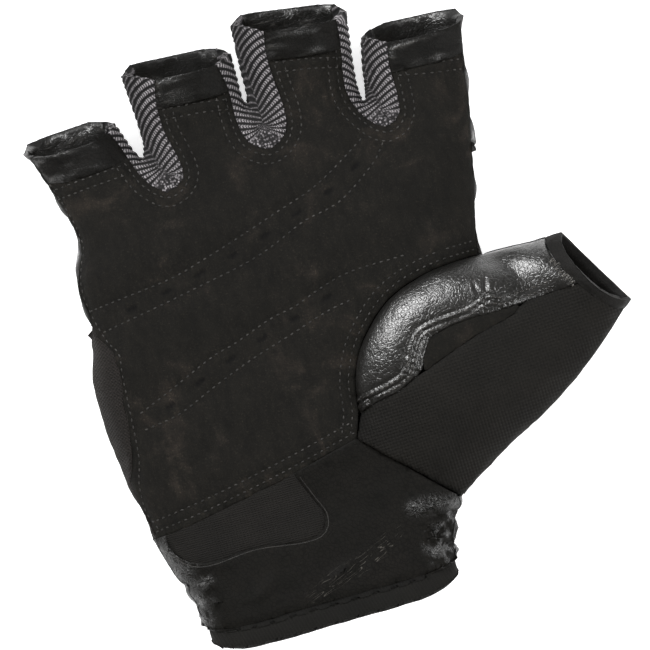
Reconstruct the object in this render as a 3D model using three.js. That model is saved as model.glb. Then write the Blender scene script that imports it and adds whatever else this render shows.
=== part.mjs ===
// A half-finger weightlifting glove for the right hand, lying on its back with the palm up.
// Millimetres: X across the hand towards the thumb, Y from the cuff to the fingertips, Z up.
// The hand is a flattened tube, open at the wrist and at five finger mouths, sewn from
// separate walls of suede, leather, ribbed knit and mesh that meet along their seams.
import * as THREE from "three";

// Hand sizes
const HAND_LENGTH = 166; // cuff hem to the middle finger's mouth
const HAND_WIDTH = 118; // widest, across the knuckles
const HAND_THICKNESS = 28;
const FINGER_THICKNESS = 20;
const CUFF_THICKNESS = 23;
const CUFF_LIFT = 2.3; // the cuff's back stands this high, over the closure tab
const FINGER_CURL = 9; // how far the fingertips rise towards the palm
const HAND_EDGE_RADIUS = 15; // rounding of the hand's sides, seen along the hand
const FINGER_EDGE_RADIUS = 11;
const MOUTH_TILT = THREE.MathUtils.degToRad(18);
const THUMB_RISE = 14; // crown of the thumb over its two edges
const THUMB_DROP = 5; // belly of the thumb under its two edges

// Walls and trim
const SUEDE = 2.2;
const LEATHER = 1.6;
const KNIT = 1.6;
const MESH = 1.4;
const HEM_DEPTH = 8; // turned leather band at each finger mouth
const BINDING_HEIGHT = 7; // rolled band round the wrist
const BINDING_LEVEL = 4.7; // its middle, at the sides of the wrist
const BINDING_THICKNESS = 3.4;
const BINDING_INSET = 2; // the wrist narrows a little at the band
const SIDE_SEAM_INSET = 1.5; // the back wraps this far on to the palm side
const MESH_STRIP_WIDTH = 7.4; // where the mesh back shows beside the palm
const BACK_SEAM_INSET = 2.6; // knit to back seam, under each finger's side
const TAB_LENGTH = 46;
const TAB_WIDTH = 19;
const TAB_THICKNESS = 1.9;
const TAB_CORNER = 5;
const SEAM_GAP = 0.3; // clearance between two sewn pieces
const CHANNEL_DEPTH = 1.1; // stitched flex grooves in the padded palm
const CHANNEL_WIDTH = 3.4;
const CROTCH_BULGE = 1.6; // gathered knit at the foot of each finger gap
const PAD_PUFF = 1.6; // padding under the thumb leather

// Mesh density
const EDGE_STEP = 4.4;
const GRID_STEP = 5.6;
const OUTLINE_STEP = 1.2;
const CORNER_STEP = 1.6; // a rim's first step from the outline, where the wall is steepest
const LINE_STEP = 1.2; // least distance between the points of two lines drawn on a wall
const THUMB_STEP = 0.5; // in thumb sections
const BINDING_COUNT = 18; // steps of the wrist's binding on each side

const vec = (across, along) => new THREE.Vector2(across * HAND_WIDTH, along * HAND_LENGTH);
const rows = (list) => list.map(([across, along]) => vec(across, along));
const smooth = THREE.MathUtils.smoothstep;
const lerp = THREE.MathUtils.lerp;
const last = (line) => line[line.length - 1];

// Outline of the hand seen from above, clockwise, columns: across, along.
const LEFT_SIDE = rows([
  [-0.318, 0.0],
  [-0.322, 0.051],
  [-0.329, 0.09],
  [-0.348, 0.121],
  [-0.364, 0.154],
  [-0.378, 0.193],
  [-0.393, 0.253],
  [-0.405, 0.322],
  [-0.415, 0.38],
  [-0.419, 0.434],
  [-0.415, 0.488],
  [-0.393, 0.542],
  [-0.388, 0.59],
  [-0.395, 0.639],
  [-0.38, 0.678],
  [-0.361, 0.708],
  [-0.369, 0.75],
  [-0.393, 0.813],
  [-0.424, 0.881],
]);
const INDEX_SIDE = rows([
  [0.67, 0.902],
  [0.649, 0.819],
  [0.628, 0.735],
  [0.598, 0.639],
  [0.571, 0.56],
  [0.559, 0.513],
]);
const CUFF_SIDE = rows([
  [0.35, 0.134],
  [0.351, 0.117],
  [0.327, 0.087],
  [0.315, 0.051],
  [0.305, 0.0],
]);

// Finger mouths: the corners where palm side and back meet at each side of the finger.
const FINGERS = [
  { name: "little", left: vec(-0.424, 0.881), right: vec(-0.192, 0.889) },
  { name: "ring", left: vec(-0.147, 0.961), right: vec(0.114, 0.948) },
  { name: "middle", left: vec(0.132, 0.992), right: vec(0.403, 0.963) },
  { name: "index", left: vec(0.419, 0.913), right: vec(0.67, 0.902) },
];

for (const finger of FINGERS) {
  const chord = finger.right.clone().sub(finger.left).normalize();
  finger.axis = new THREE.Vector2(-chord.y, chord.x);
}

// The three gaps between fingers. notch is the slot seen from above, from the left finger's
// corner round to the right finger's; seam is the knit's edge on the palm side, overlong.
const GAPS = [
  {
    name: "little_ring",
    notch: rows([
      [-0.192, 0.889],
      [-0.178, 0.858],
      [-0.166, 0.835],
      [-0.154, 0.822],
      [-0.143, 0.837],
      [-0.141, 0.88],
      [-0.147, 0.961],
    ]),
    seam: rows([
      [-0.223, 0.902],
      [-0.214, 0.889],
      [-0.193, 0.851],
      [-0.175, 0.813],
      [-0.154, 0.78],
      [-0.113, 0.754],
      [-0.07, 0.772],
      [-0.073, 0.81],
      [-0.086, 0.852],
      [-0.086, 0.904],
      [-0.068, 0.952],
      [-0.063, 0.972],
    ]),
  },
  {
    name: "ring_middle",
    notch: rows([
      [0.114, 0.948],
      [0.113, 0.904],
      [0.112, 0.873],
      [0.118, 0.86],
      [0.124, 0.873],
      [0.126, 0.916],
      [0.132, 0.992],
    ]),
    seam: rows([
      [0.071, 0.964],
      [0.079, 0.934],
      [0.09, 0.886],
      [0.087, 0.843],
      [0.097, 0.801],
      [0.141, 0.777],
      [0.186, 0.795],
      [0.199, 0.831],
      [0.194, 0.886],
      [0.193, 0.928],
      [0.207, 0.981],
      [0.212, 1.0],
    ]),
  },
  {
    name: "middle_index",
    notch: rows([
      [0.403, 0.963],
      [0.39, 0.904],
      [0.381, 0.849],
      [0.381, 0.822],
      [0.387, 0.81],
      [0.395, 0.825],
      [0.403, 0.864],
      [0.419, 0.913],
    ]),
    seam: rows([
      [0.381, 0.982],
      [0.376, 0.946],
      [0.368, 0.898],
      [0.353, 0.843],
      [0.364, 0.804],
      [0.412, 0.761],
      [0.453, 0.771],
      [0.463, 0.81],
      [0.463, 0.855],
      [0.476, 0.905],
      [0.482, 0.925],
    ]),
  },
];

// Palm seams and stitched channels on the palm side.
const PALM_FOOT = rows([
  [-0.378, 0.204],
  [-0.349, 0.205],
  [-0.213, 0.22],
  [-0.025, 0.245],
  [0.149, 0.274],
]);
const STRETCH_FOOT = rows([
  [-0.344, 0.206],
  [-0.342, 0.181],
  [-0.305, 0.151],
  [-0.254, 0.142],
  [-0.147, 0.147],
  [-0.034, 0.136],
  [0.014, 0.141],
  [0.03, 0.166],
  [0.013, 0.199],
  [-0.012, 0.247],
]);
const CHANNELS = [
  [
    [-0.36, 0.6],
    [-0.175, 0.613],
    [-0.082, 0.629],
    [0.028, 0.652],
    [0.117, 0.672],
    [0.206, 0.692],
    [0.28, 0.719],
    [0.351, 0.75],
  ],
  [
    [-0.34, 0.562],
    [-0.201, 0.577],
    [-0.121, 0.587],
    [0.003, 0.603],
    [0.081, 0.619],
    [0.172, 0.645],
    [0.266, 0.661],
    [0.309, 0.682],
    [0.363, 0.705],
    [0.398, 0.733],
  ],
  [
    [-0.315, 0.414],
    [-0.241, 0.435],
    [-0.125, 0.469],
    [-0.06, 0.482],
    [0.035, 0.505],
    [0.097, 0.513],
    [0.164, 0.53],
    [0.243, 0.543],
    [0.37, 0.545],
  ],
  [
    [-0.315, 0.385],
    [-0.231, 0.395],
    [-0.134, 0.422],
    [-0.037, 0.448],
    [0.016, 0.46],
    [0.063, 0.469],
    [0.164, 0.49],
    [0.22, 0.498],
  ],
].map(rows);
// Folds and gathers of the soft cuff: crest from one point to another, height and half width.
const CUFF_FOLDS = [
  { from: vec(0.345, 0.118), to: vec(0.27, 0.128), height: 1.5, width: 2.1 },
  { from: vec(0.33, 0.093), to: vec(0.235, 0.108), height: 1.7, width: 2.2 },
  { from: vec(0.318, 0.067), to: vec(0.225, 0.083), height: 1.6, width: 2.1 },
  { from: vec(-0.06, 0.035), to: vec(0.09, 0.088), height: 1.2, width: 2.4 },
  { from: vec(0.02, 0.035), to: vec(0.13, 0.07), height: 0.9, width: 2.2 },
  { from: vec(-0.21, 0.04), to: vec(-0.11, 0.1), height: 0.9, width: 2.6 },
  { from: vec(-0.33, 0.107), to: vec(-0.27, 0.098), height: 1.4, width: 2.1 },
  { from: vec(-0.318, 0.08), to: vec(-0.255, 0.074), height: 1.4, width: 2 },
];
// Width of the mesh strip beside the palm, as a share of MESH_STRIP_WIDTH, up the left side.
const MESH_STRIP = [
  { along: 0.316, share: 0 },
  { along: 0.337, share: 0.5 },
  { along: 0.42, share: 0.86 },
  { along: 0.48, share: 1 },
  { along: 0.526, share: 0.86 },
  { along: 0.551, share: 0.2 },
  { along: 0.563, share: 0 },
];
// Seams across the back: knuckle leather to mesh, and mesh to cuff.
const KNUCKLE_SEAM = rows([
  [-0.39, 0.575],
  [-0.2, 0.625],
  [0.05, 0.65],
  [0.3, 0.635],
  [0.575, 0.575],
]);
const CUFF_BACK_SEAM = rows([
  [-0.378, 0.204],
  [-0.1, 0.198],
  [0.2, 0.18],
  [0.35, 0.134],
]);

// Thumb sections from the seam on the palm to the thumb's mouth. inner is the edge on the
// palm or crotch side, outer the far edge; heights are shares of HAND_THICKNESS.
const THUMB_SECTIONS = [
  { inner: vec(0.149, 0.274), outer: vec(0.348, 0.131), innerUp: 0.93, outerUp: 0.5, rise: 0.42 },
  { inner: vec(0.171, 0.317), outer: vec(0.453, 0.175), innerUp: 0.93, outerUp: 0.54, rise: 0.66 },
  { inner: vec(0.185, 0.373), outer: vec(0.536, 0.207), innerUp: 0.93, outerUp: 0.58, rise: 0.88 },
  { inner: vec(0.229, 0.431), outer: vec(0.619, 0.238), innerUp: 0.93, outerUp: 0.62, rise: 1 },
  { inner: vec(0.314, 0.485), outer: vec(0.678, 0.265), innerUp: 0.93, outerUp: 0.66, rise: 1 },
  { inner: vec(0.424, 0.509), outer: vec(0.737, 0.298), innerUp: 0.9, outerUp: 0.71, rise: 0.96 },
  { inner: vec(0.559, 0.513), outer: vec(0.785, 0.325), innerUp: 0.72, outerUp: 0.76, rise: 0.94 },
  { inner: vec(0.669, 0.511), outer: vec(0.822, 0.349), innerUp: 0.82, outerUp: 0.82, rise: 0.86 },
  { inner: vec(0.742, 0.512), outer: vec(0.858, 0.37), innerUp: 0.9, outerUp: 0.9, rise: 0.8 },
];
// Where the thumb's seams cross its sections: leather pad to insert, and insert to mesh.
const THUMB_SEAMS = [
  { section: 1, pad: 0.012, mesh: 0.022 },
  { section: 2, pad: 0.26, mesh: 0.26 },
  { section: 2.7, pad: 0.34, mesh: 0.34 },
  { section: 3.2, pad: 0.29, mesh: 0.4 },
  { section: 3.6, pad: 0.28, mesh: 0.43 },
  { section: 4.3, pad: 0.37, mesh: 0.48 },
  { section: 5, pad: 0.45, mesh: 0.51 },
  { section: 5.3, pad: 0.47, mesh: 0.47 },
  { section: 6, pad: 0.5, mesh: 0.5 },
  { section: 8, pad: 0.5, mesh: 0.5 },
];
const THUMB_MOUTH_SECTION = THUMB_SECTIONS.length - 1;
const THUMB_HEM_SECTION = 7.45; // the thumb's turned hem runs from here to the mouth
const THUMB_CREASE_SECTION = 6; // the pad folds where the thumb leaves the hand
const THUMB_CREASE_DEPTH = 1.3;
const THUMB_MOUTH_TILT = 5; // the palm-side rim stands this far back from the mouth's chord
const THUMB_TILT_SECTION = 5.6; // from here on it leans back, more and more
const CROTCH_SECTION = 6; // where the thumb's inner edge leaves the hand
const INSERT_FROM = 2.78; // the suede insert lies between these two sections
const INSERT_TO = 5.22;

// Curves and outlines

function spline(points, step) {
  const curve = new THREE.CatmullRomCurve3(
    points.map((p) => new THREE.Vector3(p.x, p.y, 0)),
    false,
    "centripetal",
  );
  const count = Math.max(2, Math.round(curve.getLength() / step));
  return curve.getSpacedPoints(count).map((p) => new THREE.Vector2(p.x, p.y));
}

const OUTLINE = [LEFT_SIDE, ...GAPS.map((gap) => gap.notch), INDEX_SIDE, CUFF_SIDE].map((line) =>
  spline(line, OUTLINE_STEP),
);

// The whole plan of the hand, carried on past the finger mouths, the wrist and the thumb,
// which stays clear of the ends of the side seams where the back wraps round them.
const PAST = 20;
const [INDEX_FOOT, CUFF_HEAD] = [last(OUTLINE[4]), OUTLINE[5][0]];
const HAND_PLAN = [
  ...OUTLINE[0],
  ...FINGERS.flatMap((finger, i) => [
    finger.left.clone().addScaledVector(finger.axis, PAST),
    finger.right.clone().addScaledVector(finger.axis, PAST),
    ...OUTLINE[i + 1],
  ]),
  new THREE.Vector2(INDEX_FOOT.x + 2 * SIDE_SEAM_INSET, INDEX_FOOT.y - SIDE_SEAM_INSET),
  new THREE.Vector2(HAND_WIDTH, INDEX_FOOT.y - SIDE_SEAM_INSET),
  new THREE.Vector2(HAND_WIDTH, CUFF_HEAD.y + SIDE_SEAM_INSET),
  new THREE.Vector2(CUFF_HEAD.x + 2 * SIDE_SEAM_INSET, CUFF_HEAD.y + SIDE_SEAM_INSET),
  ...OUTLINE[5],
  new THREE.Vector2(last(OUTLINE[5]).x, -PAST),
  new THREE.Vector2(OUTLINE[0][0].x, -PAST),
];

function contains(polygon, point) {
  let inside = false;
  for (let i = 0, j = polygon.length - 1; i < polygon.length; j = i++) {
    const a = polygon[i];
    const b = polygon[j];
    if (a.y > point.y !== b.y > point.y)
      if (point.x < ((b.x - a.x) * (point.y - a.y)) / (b.y - a.y) + a.x) inside = !inside;
  }
  return inside;
}

// Foot of a point on the nearest side of the outline, with the normal into the hand there.
function nearestEdge(point) {
  let best = Infinity;
  let foot = null;
  let normal = null;
  for (const line of OUTLINE)
    for (let i = 1; i < line.length; i++) {
      const a = line[i - 1];
      const along = line[i].clone().sub(a);
      const t = THREE.MathUtils.clamp(point.clone().sub(a).dot(along) / along.lengthSq(), 0, 1);
      const q = a.clone().addScaledVector(along, t);
      const gap = point.distanceToSquared(q);
      if (gap < best) {
        best = gap;
        foot = q;
        normal = new THREE.Vector2(along.y, -along.x).normalize();
      }
    }
  const away = point.clone().sub(foot);
  const distance = away.length();
  const inside = distance < 1e-6 || contains(HAND_PLAN, point);
  if (distance > 1e-3) normal = away.divideScalar(distance).multiplyScalar(inside ? 1 : -1);
  return { distance, foot, normal, inside };
}

// Shape of the stuffed hand

const CUFF_FOOT = BINDING_LEVEL + BINDING_HEIGHT / 2;

const fingerShare = (point) => smooth(point.y, HAND_LENGTH * 0.64, HAND_LENGTH * 0.86);
const cuffShare = (point) => 1 - smooth(point.y, HAND_LENGTH * 0.2, HAND_LENGTH * 0.31);

function halfThickness(point) {
  const hand = lerp(HAND_THICKNESS, FINGER_THICKNESS, fingerShare(point)) / 2;
  return lerp(hand, CUFF_THICKNESS / 2, cuffShare(point));
}

function edgeRadius(point) {
  return lerp(HAND_EDGE_RADIUS, FINGER_EDGE_RADIUS, fingerShare(point));
}

function underside(point) {
  const past = Math.max(0, point.y / HAND_LENGTH - 0.65) / 0.33;
  return FINGER_CURL * past * past + CUFF_LIFT * cuffShare(point);
}

function distanceTo(line, point) {
  let best = Infinity;
  for (let i = 1; i < line.length; i++) {
    const along = line[i].clone().sub(line[i - 1]);
    const t = THREE.MathUtils.clamp(
      point.clone().sub(line[i - 1]).dot(along) / along.lengthSq(),
      0,
      1,
    );
    best = Math.min(best, line[i - 1].clone().addScaledVector(along, t).distanceTo(point));
  }
  return best;
}

const CHANNEL_LINES = CHANNELS.map((line) => spline(line, EDGE_STEP));

// Stitched grooves that part the palm's padding.
function palmRelief(point) {
  const nearest = Math.min(...CHANNEL_LINES.map((line) => distanceTo(line, point)));
  const seam = Math.min(...GAPS.map((gap) => distanceTo(gap.rim, point)));
  return -CHANNEL_DEPTH * (1 - smooth(nearest, 0, CHANNEL_WIDTH)) * smooth(seam, 0.5, 5);
}

function cuffRelief(point) {
  let height = 0;
  for (const fold of CUFF_FOLDS) {
    const length = fold.from.distanceTo(fold.to);
    const along = point.clone().sub(fold.from).dot(fold.to.clone().sub(fold.from)) / length;
    const end = smooth(along, 1, 4) * (1 - smooth(along, length * 0.55, length));
    const away = distanceTo([fold.from, fold.to], point);
    height += fold.height * end * (1 - smooth(away, 0, fold.width));
  }
  const seams = [PALM_FOOT, STRETCH_FOOT].map((line) => distanceTo(line, point));
  return height * smooth(Math.min(...seams), 0.5, 3) * smooth(point.y, CUFF_FOOT, CUFF_FOOT + 3);
}

// The outer and inner surface over a point of the plan: side 1 is the palm, -1 the back.
// A back point past the outline lies on the palm side, where the back wraps round.
function wallAt(point, side, wall, relief = () => 0) {
  const edge = nearestEdge(point);
  const plan = edge.inside ? point : edge.foot.clone().addScaledVector(edge.normal, edge.distance);
  const face = edge.inside ? side : -side;
  const half = halfThickness(plan);
  const radius = edgeRadius(plan);
  const level = underside(plan) + half + relief(plan);
  const cosine = 1 - Math.min(edge.distance / radius, 1);
  const sine = Math.sqrt(1 - cosine * cosine);
  const inner = plan.clone().addScaledVector(edge.normal, wall * cosine);
  return {
    outer: new THREE.Vector3(plan.x, plan.y, level + face * half * sine),
    inner: new THREE.Vector3(inner.x, inner.y, level + face * (half - wall) * sine),
    height: half * sine,
  };
}

// Values from one to another in even steps
function steps(from, to, step) {
  const count = Math.max(1, Math.round((to - from) / step));
  return Array.from({ length: count + 1 }, (_, i) => lerp(from, to, i / count));
}

// Closed solids

// Joins an outer and an inner sheet of the same triangles along the sheet's free edges.
function solidFromSheets(outer, inner, triangles) {
  const count = outer.length;
  const index = [];
  const open = new Map();
  for (const [a, b, c] of triangles) {
    index.push(a, b, c, count + a, count + c, count + b);
    for (const [from, to] of [
      [a, b],
      [b, c],
      [c, a],
    ]) {
      if (open.has(`${to},${from}`)) open.delete(`${to},${from}`);
      else open.set(`${from},${to}`, [from, to]);
    }
  }
  for (const [from, to] of open.values())
    index.push(from, count + from, to, to, count + from, count + to);
  const geometry = new THREE.BufferGeometry().setFromPoints([...outer, ...inner]);
  geometry.setIndex(index);
  return geometry;
}

// A triangle with the circle through its corners.
function circled(corners, points) {
  const [a, b, c] = corners.map((i) => points[i]);
  const [u, v] = [b.clone().sub(a), c.clone().sub(a)];
  const twice = 2 * u.cross(v);
  const centre = new THREE.Vector2(
    v.y * u.lengthSq() - u.y * v.lengthSq(),
    u.x * v.lengthSq() - v.x * u.lengthSq(),
  ).divideScalar(twice);
  return { corners, centre: centre.clone().add(a), reach: centre.lengthSq() * (1 - 1e-9) };
}

// Delaunay triangles of the plan points that lie inside a closed outline.
function triangulate(contour, inside) {
  const points = [...contour, ...inside];
  const count = points.length;
  const far = 9 * HAND_LENGTH;
  for (const [x, y] of [
    [-far, -far],
    [far, -far],
    [0, far],
  ])
    points.push(new THREE.Vector2(x, y));
  let faces = [circled([count, count + 1, count + 2], points)];
  for (let i = 0; i < count; i++) {
    const rim = new Map();
    faces = faces.filter(({ corners, centre, reach }) => {
      if (points[i].distanceToSquared(centre) > reach) return true;
      corners.forEach((from, k) => {
        const to = corners[(k + 1) % 3];
        if (!rim.delete(`${to},${from}`)) rim.set(`${from},${to}`, [from, to]);
      });
      return false;
    });
    for (const [from, to] of rim.values()) faces.push(circled([from, to, i], points));
  }
  const kept = faces.filter(({ corners }) => {
    if (corners.some((corner) => corner >= count)) return false;
    const middle = new THREE.Vector2();
    for (const corner of corners) middle.addScaledVector(points[corner], 1 / 3);
    return contains(contour, middle);
  });
  return { points: points.slice(0, count), faces: kept.map((face) => face.corners) };
}

// Drops the points of a closed outline that lie closer together than the seam gap.
function tidy(polygon) {
  return polygon.filter((p, i) => p.distanceTo(polygon[(i + 1) % polygon.length]) > SEAM_GAP);
}

// Moves a closed outline inwards by half of the seam gap.
function inset(polygon) {
  const clockwise = THREE.ShapeUtils.isClockWise(polygon);
  return polygon.map((p, i) => {
    const before = polygon[(i + polygon.length - 1) % polygon.length];
    const after = polygon[(i + 1) % polygon.length];
    const a = p.clone().sub(before).normalize();
    const b = after.clone().sub(p).normalize();
    const along = a.clone().add(b).normalize();
    const inward = new THREE.Vector2(along.y, -along.x).multiplyScalar(clockwise ? 1 : -1);
    const spread = Math.max(0.5, Math.sqrt((1 + a.dot(b)) / 2));
    return p.clone().addScaledVector(inward, SEAM_GAP / 2 / spread);
  });
}

// A wall over a plan outline, with extra points along given lines and on an even grid.
function sheet(outline, side, wall, { relief, lines = [], step = GRID_STEP } = {}) {
  const contour = inset(tidy(outline));
  if (THREE.ShapeUtils.isClockWise(contour)) contour.reverse();
  const inside = [];
  // A free point stays out of the circle on each stretch of the outline.
  const free = (point, margin) =>
    contour.every((a, i) => {
      const b = contour[(i + 1) % contour.length];
      const reach = a.distanceTo(b) / 2 + margin;
      return a.clone().lerp(b, 0.5).distanceTo(point) > reach;
    });
  const offer = (point, apart, margin) => {
    if (!contains(contour, point) || !free(point, margin)) return;
    if (inside.every((p) => p.distanceTo(point) > apart)) inside.push(point);
  };
  for (const line of lines) for (const p of line) offer(p, LINE_STEP, 0.1);
  const box = new THREE.Box2().setFromPoints(contour);
  for (let row = 0, y = box.min.y; y < box.max.y; row++, y += step * Math.sqrt(0.75))
    for (let x = box.min.x + (row % 2) * (step / 2); x < box.max.x; x += step)
      offer(new THREE.Vector2(x, y), step * 0.62, 0.6);
  const { points, faces } = triangulate(contour, inside);
  const walls = points.map((p) => wallAt(p, side, wall, relief));
  const turned = side > 0 ? faces : faces.map(([a, b, c]) => [a, c, b]);
  return solidFromSheets(
    walls.map((w) => w.outer),
    walls.map((w) => w.inner),
    turned,
  );
}

// A wall over a grid of points, given as columns of equal length.
function gridSolid(columns, innerColumns) {
  const height = columns[0].length;
  const faces = [];
  for (let i = 1; i < columns.length; i++)
    for (let j = 1; j < height; j++) {
      const a = (i - 1) * height + j - 1;
      faces.push([a, a + height, a + height + 1], [a, a + height + 1, a + 1]);
    }
  return solidFromSheets(columns.flat(), innerColumns.flat(), faces);
}

// Lines along the outline at given distances into the hand.
function ringLines(sides, distances) {
  return sides.flatMap((side) =>
    distances.map((distance) =>
      spline(side, EDGE_STEP).map((p) => {
        const edge = nearestEdge(p);
        return p.clone().addScaledVector(edge.normal, distance);
      }),
    ),
  );
}

// Finger mouths

// How far a plan point lies past a finger's rim; the rim leans back on the palm side.
function pastRim(finger, point, side) {
  const height = wallAt(point, 1, LEATHER).height;
  const lean = side * height * Math.tan(MOUTH_TILT);
  return point.clone().sub(finger.left).dot(finger.axis) + lean;
}

// Cuts a line that crosses a level of a finger, and gives the part below and the part above.
function cutAtLevel(line, finger, side, level) {
  const values = line.map((p) => pastRim(finger, p, side) - level);
  const i = values.findIndex((v, k) => k > 0 && v * values[k - 1] <= 0);
  if (i < 0) return [line, []];
  const t = values[i - 1] / (values[i - 1] - values[i]);
  const crossing = line[i - 1].clone().lerp(line[i], t);
  return [
    [...line.slice(0, i), crossing],
    [crossing, ...line.slice(i)],
  ];
}

// A line across a finger at a level behind its rim.
function acrossFinger(finger, from, to, side, level) {
  const width = from.distanceTo(to);
  const shares = steps(0, 1, EDGE_STEP / width);
  if (from === finger.left) shares.splice(1, 0, CORNER_STEP / width);
  if (to === finger.right) shares.splice(-1, 0, 1 - CORNER_STEP / width);
  return shares.map((share, i) => {
    const p = from.clone().lerp(to, share);
    if (i > 0 && i < shares.length - 1)
      for (let turn = 0; turn < 3; turn++)
        p.addScaledVector(finger.axis, level - pastRim(finger, p, side));
    return p;
  });
}

// Side seams, where the back wraps on to the palm side

function stripWidth(point) {
  const along = point.y / HAND_LENGTH;
  const i = MESH_STRIP.findIndex((row) => row.along > along);
  if (i <= 0) return 0;
  const [a, b] = [MESH_STRIP[i - 1], MESH_STRIP[i]];
  const t = (along - a.along) / (b.along - a.along);
  return MESH_STRIP_WIDTH * lerp(a.share, b.share, smooth(t, 0, 1));
}

const sideSeam = (side, extra = () => 0) =>
  spline(side, EDGE_STEP * 0.8).map((p) => {
    const edge = nearestEdge(p);
    return p.clone().addScaledVector(edge.normal, SIDE_SEAM_INSET + extra(p));
  });

// The same seam as seen from the back's own plan, past the outline.
const mirrored = (line) =>
  line.map((p) => {
    const edge = nearestEdge(p);
    return edge.foot.clone().multiplyScalar(2).sub(p);
  });

const leftSeam = sideSeam(LEFT_SIDE, stripWidth);
const indexSeam = sideSeam(INDEX_SIDE);
const cuffSeam = sideSeam(CUFF_SIDE);

// The part of a side's line between two levels of the plan
function between(line, low, high) {
  return line.flatMap((p, i) => {
    const before = line[Math.max(i - 1, 0)];
    const cuts = [low, high].filter((y) => (before.y - y) * (p.y - y) < 0);
    const ends = cuts.map((y) => before.clone().lerp(p, (y - before.y) / (p.y - before.y)));
    return p.y > low && p.y < high ? [...ends, p] : ends;
  });
}

// Each gap's palm seam, cut where it reaches the rims of its two fingers.
for (const [i, gap] of GAPS.entries()) {
  const [leftFinger, rightFinger] = [FINGERS[i], FINGERS[i + 1]];
  const line = spline(gap.seam, EDGE_STEP * 0.7);
  const middle = Math.floor(line.length / 2);
  const down = line.slice(0, middle + 1).reverse();
  const up = line.slice(middle);
  const [leftLow] = cutAtLevel(down, leftFinger, 1, 0);
  const [rightLow] = cutAtLevel(up, rightFinger, 1, 0);
  gap.leftLeg = cutAtLevel(leftLow, leftFinger, 1, -HEM_DEPTH);
  gap.rightLeg = cutAtLevel(rightLow, rightFinger, 1, -HEM_DEPTH);
  gap.rim = [...[...leftLow].reverse(), ...rightLow.slice(1)];
  gap.fingers = [leftFinger, rightFinger];
  const round = new THREE.CatmullRomCurve3(gap.notch.map((p) => new THREE.Vector3(p.x, p.y, 0)));
  gap.edge = round.getSpacedPoints(gap.rim.length - 1).map((p) => new THREE.Vector2(p.x, p.y));
  gap.inward = gap.edge.map((_, k) => {
    const along = gap.edge[Math.min(k + 1, gap.edge.length - 1)]
      .clone()
      .sub(gap.edge[Math.max(k - 1, 0)])
      .normalize();
    return new THREE.Vector2(along.y, -along.x);
  });
}

// Seam of knit to back at a depth under the fingers' sides; at its ends it leans forward
// with the finger rims.
function backSeam(gap, depth) {
  const count = gap.edge.length - 1;
  return gap.edge.map((start, k) => {
    const p = start.clone().addScaledVector(gap.inward[k], depth);
    const { axis } = gap.fingers[k <= count / 2 ? 0 : 1];
    const end = Math.pow(Math.abs(k / count - 0.5) * 2, 3);
    const lean = wallAt(p, -1, KNIT).height * Math.tan(MOUTH_TILT);
    return p.addScaledVector(axis, lean * end);
  });
}

// Palm side

const leftPalm = cutAtLevel(
  cutAtLevel(between(leftSeam, PALM_FOOT[0].y, Infinity), FINGERS[0], 1, 0)[0],
  FINGERS[0],
  1,
  -HEM_DEPTH,
);
const indexPalm = cutAtLevel([...indexSeam].reverse(), FINGERS[3], 1, -HEM_DEPTH);
indexPalm[1] = cutAtLevel(indexPalm[1], FINGERS[3], 1, 0)[0];

// The two lines that bound each finger's palm side, each from the hem line up to the rim.
const fingerSides = FINGERS.map((_, i) => ({
  left: i === 0 ? leftPalm[1] : GAPS[i - 1].rightLeg[1],
  right: i === 3 ? indexPalm[1] : GAPS[i].leftLeg[1],
}));

function fingerHem(i) {
  const { left, right } = fingerSides[i];
  const finger = FINGERS[i];
  const rim = acrossFinger(finger, last(left), last(right), 1, 0);
  const foot = acrossFinger(finger, right[0], left[0], 1, -HEM_DEPTH);
  return sheet([...left, ...rim, ...[...right].reverse(), ...foot], 1, LEATHER);
}

function thumbRow(section) {
  const i = Math.min(Math.floor(section), THUMB_SECTIONS.length - 2);
  const pick = (k) => THUMB_SECTIONS[THREE.MathUtils.clamp(k, 0, THUMB_SECTIONS.length - 1)];
  const t = section - i;
  const blend = (read) => {
    const [a, b, c, d] = [i - 1, i, i + 1, i + 2].map((k) => read(pick(k)));
    return (
      b + 0.5 * t * (c - a + t * (2 * a - 5 * b + 4 * c - d + t * (3 * (b - c) + d - a)))
    );
  };
  const column = (name) => new THREE.Vector2(blend((r) => r[name].x), blend((r) => r[name].y));
  return {
    inner: column("inner"),
    outer: column("outer"),
    innerUp: blend((r) => r.innerUp) * HAND_THICKNESS,
    outerUp: blend((r) => r.outerUp) * HAND_THICKNESS,
    rise: blend((r) => r.rise),
  };
}

const thumbArc = steps(0, CROTCH_SECTION, THUMB_STEP).map((section) => thumbRow(section).inner);

function palmPanel() {
  const outline = [...leftPalm[0]];
  FINGERS.forEach((finger, i) => {
    const { left, right } = fingerSides[i];
    outline.push(...acrossFinger(finger, left[0], right[0], 1, -HEM_DEPTH));
    if (i < 3) outline.push(...[...GAPS[i].leftLeg[0]].reverse(), ...GAPS[i].rightLeg[0]);
  });
  outline.push(...[...indexPalm[0]].reverse());
  outline.push(...[...thumbArc].reverse());
  outline.push(...spline([...PALM_FOOT].reverse(), EDGE_STEP).slice(0, -1));
  const lines = [...CHANNEL_LINES, ...ringLines([LEFT_SIDE, INDEX_SIDE], [4.5])];
  return sheet(outline, 1, SUEDE, { relief: palmRelief, lines });
}

function stretchPanel() {
  const foot = spline(STRETCH_FOOT, EDGE_STEP * 0.6);
  const top = spline(PALM_FOOT, EDGE_STEP).filter(
    (p) => p.x > foot[0].x && p.x < last(foot).x,
  );
  return sheet([...foot, ...top.reverse()], 1, MESH);
}

const wristRim = (x, side) => {
  const { height } = wallAt(new THREE.Vector2(x, CUFF_FOOT), 1, LEATHER);
  return new THREE.Vector2(x, CUFF_FOOT - side * height * Math.tan(MOUTH_TILT));
};

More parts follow.
